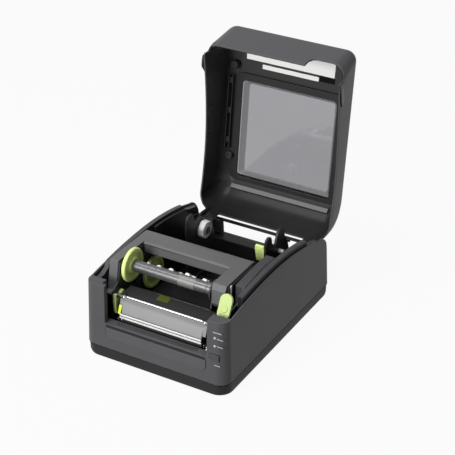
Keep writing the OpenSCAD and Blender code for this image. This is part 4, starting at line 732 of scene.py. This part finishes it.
# ---- Ribbon module ----
# The swing-up module has a satin graphite cover over two black-painted steel plates.
# Its front cover below is smoother and paler, with a black top; a small olive patch
# on that top and a lime flag beside the hook are coloured inserts.
HEAD_TOP_FROM_Y = -113.8 * MM
HEAD_CHEEK_FROM_X = 60.5 * MM
HEAD_BLACK = 1
PATCH_OUTLINE = ((-103.5, 82.62), (-93.2, 84.02), (-93.2, 84.2), (-103.5, 82.8))
PATCH_SPAN = (-18, -2)
FLAG_OUTLINE = (
    (-122.45, 59.8), (-121.55, 63.0), (-118.4, 70.0), (-118.9, 70.3), (-122.0, 63.2), (-122.95, 59.9),
)
FLAG_SPAN = (-60.6, -56.8)
module_graphite = moulded_plastic("module_graphite", (0.125, 0.125, 0.127), roughness=0.4)
head_satin = moulded_plastic("head_satin", (0.25, 0.25, 0.252), roughness=0.34, grain=0.05)
head_black = moulded_plastic("head_black", (0.016, 0.016, 0.016), roughness=0.5, edge_highlight=0.1)
plate_black = moulded_plastic("plate_black", (0.04, 0.04, 0.041), roughness=0.35, grain=0.04)
softened("ribbon_cover", module_graphite, 0.8)
head = softened("head_cover", head_satin, 0.4)
head.data.materials.append(head_black)
for face in head.data.polygons:
    if face.center.y > HEAD_TOP_FROM_Y or abs(face.center.x) > HEAD_CHEEK_FROM_X:
        face.material_index = HEAD_BLACK
dress(plate_black, "module_side_plates", "supply_brake")

patch_olive = moulded_plastic("patch_olive", (0.06, 0.078, 0.006), roughness=0.35, grain=0.03, edge_highlight=0.0)
patch_lime = moulded_plastic("patch_lime", (0.72, 0.86, 0.05), roughness=0.35, grain=0.03, edge_highlight=0.0)
olive = bmesh.new()
prism(olive, PATCH_OUTLINE, *PATCH_SPAN, "x")
make("module_patch", olive, patch_olive, "ribbon_module")
flag = bmesh.new()
prism(flag, FLAG_OUTLINE, *FLAG_SPAN, "x")
make("latch_flag", flag, patch_lime, "ribbon_module")

# ---- Rods and tear strips ----
# The upper guide rod is bright turned steel with dark ends, the lower ones blackened.
# Two polished metal strips with a dark gap between them form the tear edge under the
# head cover; a rivet and a bent tag hold the arm plates. Strips, rivet and tag are a
# pale plastic, a painted highlight for their bright metal.
LINES_PER_METRE = 60
LINE_DEPTH = 0.05 * MM
METAL_SPREAD = (-0.08, 0.1)
ROD_PROFILE = (
    (0, -72.5), (2.1, -72.5), (2.5, -72.1), (2.5, -57), (2.5, 57), (2.5, 70.4), (2.1, 70.8), (0, 70.8),
)
ROD_AXIS = (-113, 79)
ROD_BRIGHT_WITHIN_X = 57.1 * MM
ROD_DARK = 1
STRIP_HEIGHTS = (60.4, 56.6)
STRIP_OUTLINE = ((-124.05, -1.4), (-124.55, -1.2), (-124.7, 0.2), (-124.5, 1.1), (-124.05, 1.4))
STRIP_HALF_LONG = 57
RIVET_AXIS = (-71.3, 60.5)
RIVET_PROFILE = (
    (0, -70.8), (3.2, -70.8), (3.2, -69.8), (2.6, -69.0), (1.4, -68.8), (1.2, -69.3), (0, -69.3),
)
TAG_OUTLINE = ((-79.6, 97), (-77.6, 97), (-77.2, 116.4), (-78.2, 117.2), (-79.6, 116.4))
TAG_SPAN = (71.0, 72.2)


def metal(name, colour, roughness=0.28, lines=0.1, along=(1, 60, 60)):
    """A bare metal with fine drawn lines along one axis."""
    bare = bpy.data.materials.new(name)
    bare.use_nodes = True
    tree = bare.node_tree
    shader = tree.nodes["Principled BSDF"]
    shader.inputs["Metallic"].default_value = 1
    place = tree.nodes.new("ShaderNodeTexCoord")
    stretch = tree.nodes.new("ShaderNodeMapping")
    stretch.inputs["Scale"].default_value = along
    tree.links.new(place.outputs["Object"], stretch.inputs["Vector"])
    drawn = tree.nodes.new("ShaderNodeTexNoise")
    drawn.inputs["Scale"].default_value = LINES_PER_METRE
    drawn.inputs["Detail"].default_value = 5
    tree.links.new(stretch.outputs["Vector"], drawn.inputs["Vector"])
    tone = tree.nodes.new("ShaderNodeMixRGB")
    tone.inputs["Color1"].default_value = flat_colour(colour, 0.82)
    tone.inputs["Color2"].default_value = flat_colour(colour)
    tree.links.new(drawn.outputs["Fac"], tone.inputs["Fac"])
    tree.links.new(tone.outputs["Color"], shader.inputs["Base Color"])
    gloss = tree.nodes.new("ShaderNodeMapRange")
    gloss.inputs["To Min"].default_value = roughness + METAL_SPREAD[0]
    gloss.inputs["To Max"].default_value = roughness + METAL_SPREAD[1]
    tree.links.new(drawn.outputs["Fac"], gloss.inputs["Value"])
    tree.links.new(gloss.outputs["Result"], shader.inputs["Roughness"])
    bump = tree.nodes.new("ShaderNodeBump")
    bump.inputs["Strength"].default_value = lines
    bump.inputs["Distance"].default_value = LINE_DEPTH
    tree.links.new(drawn.outputs["Fac"], bump.inputs["Height"])
    tree.links.new(bump.outputs["Normal"], shader.inputs["Normal"])
    return bare


plated_steel = metal("plated_steel", (0.78, 0.78, 0.79), 0.3, 0.04)
# A pale plastic standing in for bright metal: a painted highlight on the tear strips, rivet and tag.
pale_painted_glint = moulded_plastic(
    "pale_painted_glint", (0.75, 0.75, 0.74), roughness=0.3, grain=0.03, edge_highlight=0.0, shine=0.6
)
dark_steel = metal("dark_steel", (0.12, 0.12, 0.122), 0.34)
dress(
    plated_steel,
    "sensor_rod", "holder_rods", "lid_hinge_pins", "module_hinge_pins", "catch_pin", "platen_shaft",
    "latch_shaft", "head_springs", "usb_socket", "serial_socket", "stepper_motor", "tray_screws",
)
dress(dark_steel, "tear_bar", "ribbon_rods")

rod = bmesh.new()
turned(rod, ROD_PROFILE, (0, *ROD_AXIS), "x", 48)
guide = make(
    "guide_rod_ground", rod, plated_steel, "ribbon_module", roll=0.1, replaced=("guide_rod",)
)
guide.data.materials.append(dark_steel)
for face in guide.data.polygons:
    if abs(face.center.x) > ROD_BRIGHT_WITHIN_X:
        face.material_index = ROD_DARK
strips = bmesh.new()
for height in STRIP_HEIGHTS:
    outline = [(y, height + z) for y, z in STRIP_OUTLINE]
    prism(strips, outline, -STRIP_HALF_LONG, STRIP_HALF_LONG, "x")
make("tear_strips", strips, pale_painted_glint, "ribbon_module", roll=0.15)

fixings = bmesh.new()
turned(fixings, RIVET_PROFILE, (0, *RIVET_AXIS), "x", 32)
prism(fixings, TAG_OUTLINE, *TAG_SPAN, "x")
make("plate_fixings", fixings, pale_painted_glint, "ribbon_module", roll=0.2)

# ---- Ribbon spindles ----
# Each spindle is a glossy dark tube on two stub ends, with a collar at its driven end,
# four low ribs and a row of steel spring tabs that grip the ribbon core; the tabs are
# painted white as a painted glint of their bright steel. A grey band is stuck on the
# rewind tube.
SPINDLE_AXES = {"rewind_spindle": (-78, 103.5), "supply_spindle": (-31, 69)}
TUBE_RADIUS = 7.5
TUBE_PROFILE = (
    (0, -74.7), (3.6, -74.7), (4, -74.3), (4, -62.1), (6.9, -62.1), (7.5, -61.6), (7.5, -50),
    (7.35, -49.8), (7.35, -49.2), (7.5, -49), (7.5, 39), (7.3, 39.2), (7.3, 39.8), (7.5, 40),
    (7.5, 41), (8.1, 41.2), (8.1, 45.6), (7.7, 46), (4, 46), (4, 57.6), (3.6, 58), (0, 58),
)
TUBE_RIB_SPAN = (-48.5, 38.5)
TUBE_RIB_TURNS = (25, 115, 205, 295)
TUBE_RIB_REACHES = (TUBE_RADIUS - 0.5, TUBE_RADIUS + 0.18)
TUBE_RIB_HALF_THICK = 0.5
TUBE_METALLIC = 0.6
TAB_TURN = 58
TAB_PLACES = ((-46, 0.9), (-31, 1.6), (-14, 2.2), (0, 0.7), (9, 2.6), (18, 1.3), (33, 2.3))
BAND_SPAN = (1, 24)
BAND_STEPS = 16
BAND_FROM_TURN = 95
BAND_STEP_TURN = 10
BAND_REACHES = (TUBE_RADIUS + 0.02, TUBE_RADIUS + 0.22)
tube_black = moulded_plastic(
    "tube_black", (0.11, 0.11, 0.112), roughness=0.33, grain=0.03, patch=0.05, shine=0.5
)
tube_black.node_tree.nodes["Principled BSDF"].inputs["Metallic"].default_value = TUBE_METALLIC
# The tabs' white is a painted glint of bright spring steel.
white_painted_glint = moulded_plastic("white_painted_glint", (0.8, 0.8, 0.79), roughness=0.3, grain=0.03, edge_highlight=0.0)
band_grey = moulded_plastic(
    "band_grey", (0.17, 0.17, 0.165), roughness=0.3, grain=0.03, edge_highlight=0.0, shine=0.6
)


def out_and_across(turn):
    """The ways out from a shaft and round it, at a turn in degrees."""
    a = math.radians(turn)
    return Vector((0, math.cos(a), math.sin(a))), Vector((0, -math.sin(a), math.cos(a)))


def about_shaft(axis, x, reach, a):
    """A point in metres round a shaft that lies across the machine."""
    return Vector((x, axis[0] + reach * math.cos(a), axis[1] + reach * math.sin(a))) * MM


for name, axis in SPINDLE_AXES.items():
    tube = bmesh.new()
    turned(tube, TUBE_PROFILE, (0, *axis), "x", 64)
    for turn in TUBE_RIB_TURNS:
        out, across = out_and_across(turn)
        corners = []
        for x in TUBE_RIB_SPAN:
            for reach in TUBE_RIB_REACHES:
                for shift in (-TUBE_RIB_HALF_THICK, TUBE_RIB_HALF_THICK):
                    corners.append((Vector((x, *axis)) + out * reach + across * shift) * MM)
        six_faces(tube, corners)
    piece = make(name + "_tube", tube, tube_black, name, replaced=(name,))
    round_off(piece, 0.15, sharp=40, steps=2)

    spring = bmesh.new()
    out, across = out_and_across(TAB_TURN)
    for x, lift in TAB_PLACES:
        foot = Vector((x, *axis)) + out * (TUBE_RADIUS - 0.2)
        half_long = 2.2 + 0.7 * lift
        spots = (
            (-half_long, -0.5, 1.6), (-half_long * 0.3, lift, 2.1),
            (half_long * 0.5, lift, 2.1), (half_long, -0.5, 1.6),
        )
        rows = []
        for side in (-1, 1):
            row = []
            for dx, rise, wide in spots:
                spot = foot + Vector((dx, 0, 0)) + out * rise + across * side * wide
                row.append(spring.verts.new(spot * MM))
            rows.append(row)
        hoops(spring, rows)
        spring.faces.new(rows[0])
        spring.faces.new(rows[1][::-1])
    make(name + "_tabs", spring, white_painted_glint, name)

tape = bmesh.new()
tape_rings = []
for x in BAND_SPAN:
    ring = []
    for i in range(BAND_STEPS + 1):
        a = math.radians(BAND_FROM_TURN + BAND_STEP_TURN * i)
        for reach in BAND_REACHES:
            ring.append(tape.verts.new(about_shaft(SPINDLE_AXES["rewind_spindle"], x, reach, a)))
    tape_rings.append(ring)
near, far = tape_rings
for i in range(0, 2 * BAND_STEPS, 2):
    for under in (i, i + 1):
        tape.faces.new((near[under], near[under + 2], far[under + 2], far[under]))
    for ring in tape_rings:
        tape.faces.new((ring[i], ring[i + 1], ring[i + 3], ring[i + 2]))
for i in (0, 2 * BAND_STEPS):
    tape.faces.new((near[i], near[i + 1], far[i + 1], far[i]))
make("tube_tape", tape, band_grey, "rewind_spindle")

# ---- Ribbon wheels ----
# The hand wheels are thick lime acetal discs with a finely knurled rim, a sunk web
# and a hub that clips on the tube.
WHEEL_LEFT_X = -70.0
KNURLS = 66
KNURL_EVERY = 3
WHEEL_STEPS = KNURLS * KNURL_EVERY
KNURL_DEPTH = 0.38
KNURL_FROM_RADIUS = 21.5
WHEEL_PROFILE = (
    (4.1, 0.6), (9, 0.6), (9.6, 1.2), (17, 1.2), (18, 0.3), (20.6, 0), (21.7, 0.9), (22, 2.2),
    (22, 3.0), (21.7, 4.2), (20.6, 5.3), (18.2, 5.3), (16.8, 4.2), (16.2, 2.6), (10.8, 2.6),
    (10.2, 5.4), (9.2, 6.3), (4.1, 6.3),
)
touch_green = moulded_plastic("touch_green", (0.5, 0.62, 0.23), roughness=0.42, grain=0.06, edge_highlight=0.1)
# The same lime acetal painted lighter, as painted light, for the wheels and the lock, which sit in
# shade.
lime_painted_lighter = moulded_plastic("lime_painted_lighter", (0.78, 1.0, 0.33), roughness=0.4, grain=0.05, edge_highlight=0.1)
for name, spindle in (("rewind_wheel", "rewind_spindle"), ("supply_wheel", "supply_spindle")):
    wheel = bmesh.new()
    rings = []
    for radius, shift in WHEEL_PROFILE:
        ring = []
        for i in range(WHEEL_STEPS):
            cut = KNURL_DEPTH if radius > KNURL_FROM_RADIUS and i % KNURL_EVERY == 0 else 0
            a = 2 * math.pi * i / WHEEL_STEPS
            spot = about_shaft(SPINDLE_AXES[spindle], WHEEL_LEFT_X + shift, radius - cut, a)
            ring.append(wheel.verts.new(spot))
        rings.append(ring)
    hoops(wheel, rings, closed=True)
    body = body_of_node[name]
    piece = make(name + "_knurled", wheel, lime_painted_lighter, body, replaced=(name,))
    for face in piece.data.polygons:
        face.use_smooth = True
    soft = piece.modifiers.new("even_shading", "WEIGHTED_NORMAL")
    soft.weight = 60

# ---- Latch and release lever ----
# The lime release lever and hook are one acetal linkage on a cross shaft; a low ring
# on the lever's pad frames a thumb dish.
DISH_PROFILE = ((0, 0.06), (2.6, 0.12), (3.9, 0.5), (4.6, 0.5), (5.2, -0.3), (0, -0.3))
PAD_CORNER = Vector((80.75, -117.5, 93.5)) * MM
PAD_TILT = math.radians(64)
DISH_UP_PAD = 14
softened("release_lever", touch_green, 0.9)
softened("left_latch", touch_green, 0.4)
pad_place = Matrix.Translation(PAD_CORNER) @ Matrix.Rotation(PAD_TILT, 4, "X")
dish = bmesh.new()
turned(dish, DISH_PROFILE, (0, DISH_UP_PAD, 0))
dish_piece = make("lever_dish", dish, touch_green, "latch", pad_place)
for face in dish_piece.data.polygons:
    face.use_smooth = True

# ---- Print head, platen and drive ----
# The head is a glazed ceramic bar under a sawn aluminium heat sink; it presses on a
# ground rubber roller driven by acetal gears from a stepping motor.
head_ceramic = moulded_plastic("head_ceramic", (0.1, 0.09, 0.075), roughness=0.3, grain=0.03)
roller_rubber = moulded_plastic(
    "roller_rubber", (0.025, 0.025, 0.026), roughness=0.65, grain=0.2, edge_highlight=0.1
)
pale_acetal = moulded_plastic("pale_acetal", (0.8, 0.8, 0.78), roughness=0.36, grain=0.05)
turned_brass = metal("turned_brass", (0.78, 0.6, 0.28), 0.3)
sawn_aluminium = metal("sawn_aluminium", (0.68, 0.69, 0.7), 0.4, 0.3)
board_green = moulded_plastic("board_green", (0.03, 0.13, 0.06), roughness=0.35, grain=0.1)
dress(head_ceramic, "print_head")
dress(roller_rubber, "platen_roller")
dress(pale_acetal, "platen_gear", "idler_gear", "rewind_gear", "ribbon_idler_gear", "holder_pinion")
dress(turned_brass, "platen_bushes", "motor_pinion")
dress(sawn_aluminium, "heat_sink")
dress(board_green, "main_board", "button_board")

# ---- Roll holders ----
# Two black nylon cheeks slide together on steel rods; each carries a free-turning
# lobed hub in pale acetal, and the right one a lime lock and a pale snapped-in pin.
HUB_AXIS = (68, 86)
HUB_FACE_X = 54.6
HUB_STEPS = 72
HUB_LOBES = 7
LOBE_SHARE = 0.055
LOBES_FROM_RADIUS = 8
HUB_PROFILE = (
    (3.4, 8.6), (6.8, 8.6), (7.6, 7.4), (8.6, 7.2), (11.0, 8.3), (12.0, 7.2), (12.4, 1.0), (11.8, 0.0),
    (3.4, 0.0),
)
PIN_PROFILE = ((0, 58.2), (3.4, 58.2), (3.4, 59.4), (2.9, 59.8), (2.9, 64.6), (2.3, 65.2), (0, 65.2))
holder_black = moulded_plastic("holder_black", (0.022, 0.022, 0.023), roughness=0.36)
softened("left_holder", holder_black, 0.6)
softened("right_holder", holder_black, 0.6)
# The lock takes the lime painted lighter: painted light for its shaded place.
softened("holder_lock", lime_painted_lighter, 0.6)
for side, name in ((-1, "left_hub"), (1, "right_hub")):
    hub = bmesh.new()
    rings = []
    for radius, depth in HUB_PROFILE:
        x = side * (HUB_FACE_X - depth)
        ring = []
        for i in range(HUB_STEPS):
            a = 2 * math.pi * i / HUB_STEPS
            dip = 0.5 - 0.5 * math.cos(HUB_LOBES * a) if radius > LOBES_FROM_RADIUS else 0
            ring.append(hub.verts.new(about_shaft(HUB_AXIS, x, radius * (1 - LOBE_SHARE * dip), a)))
        rings.append(ring)
    hoops(hub, rings, closed=True)
    piece = make(name + "_lobed", hub, pale_acetal, name, replaced=(name,))
    round_off(piece, 0.2, sharp=50, steps=2)

pin = bmesh.new()
turned(pin, PIN_PROFILE, (0, *HUB_AXIS), "x", 32)
make("hub_pin", pin, pale_acetal, "right_holder", roll=0.15)

low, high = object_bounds()
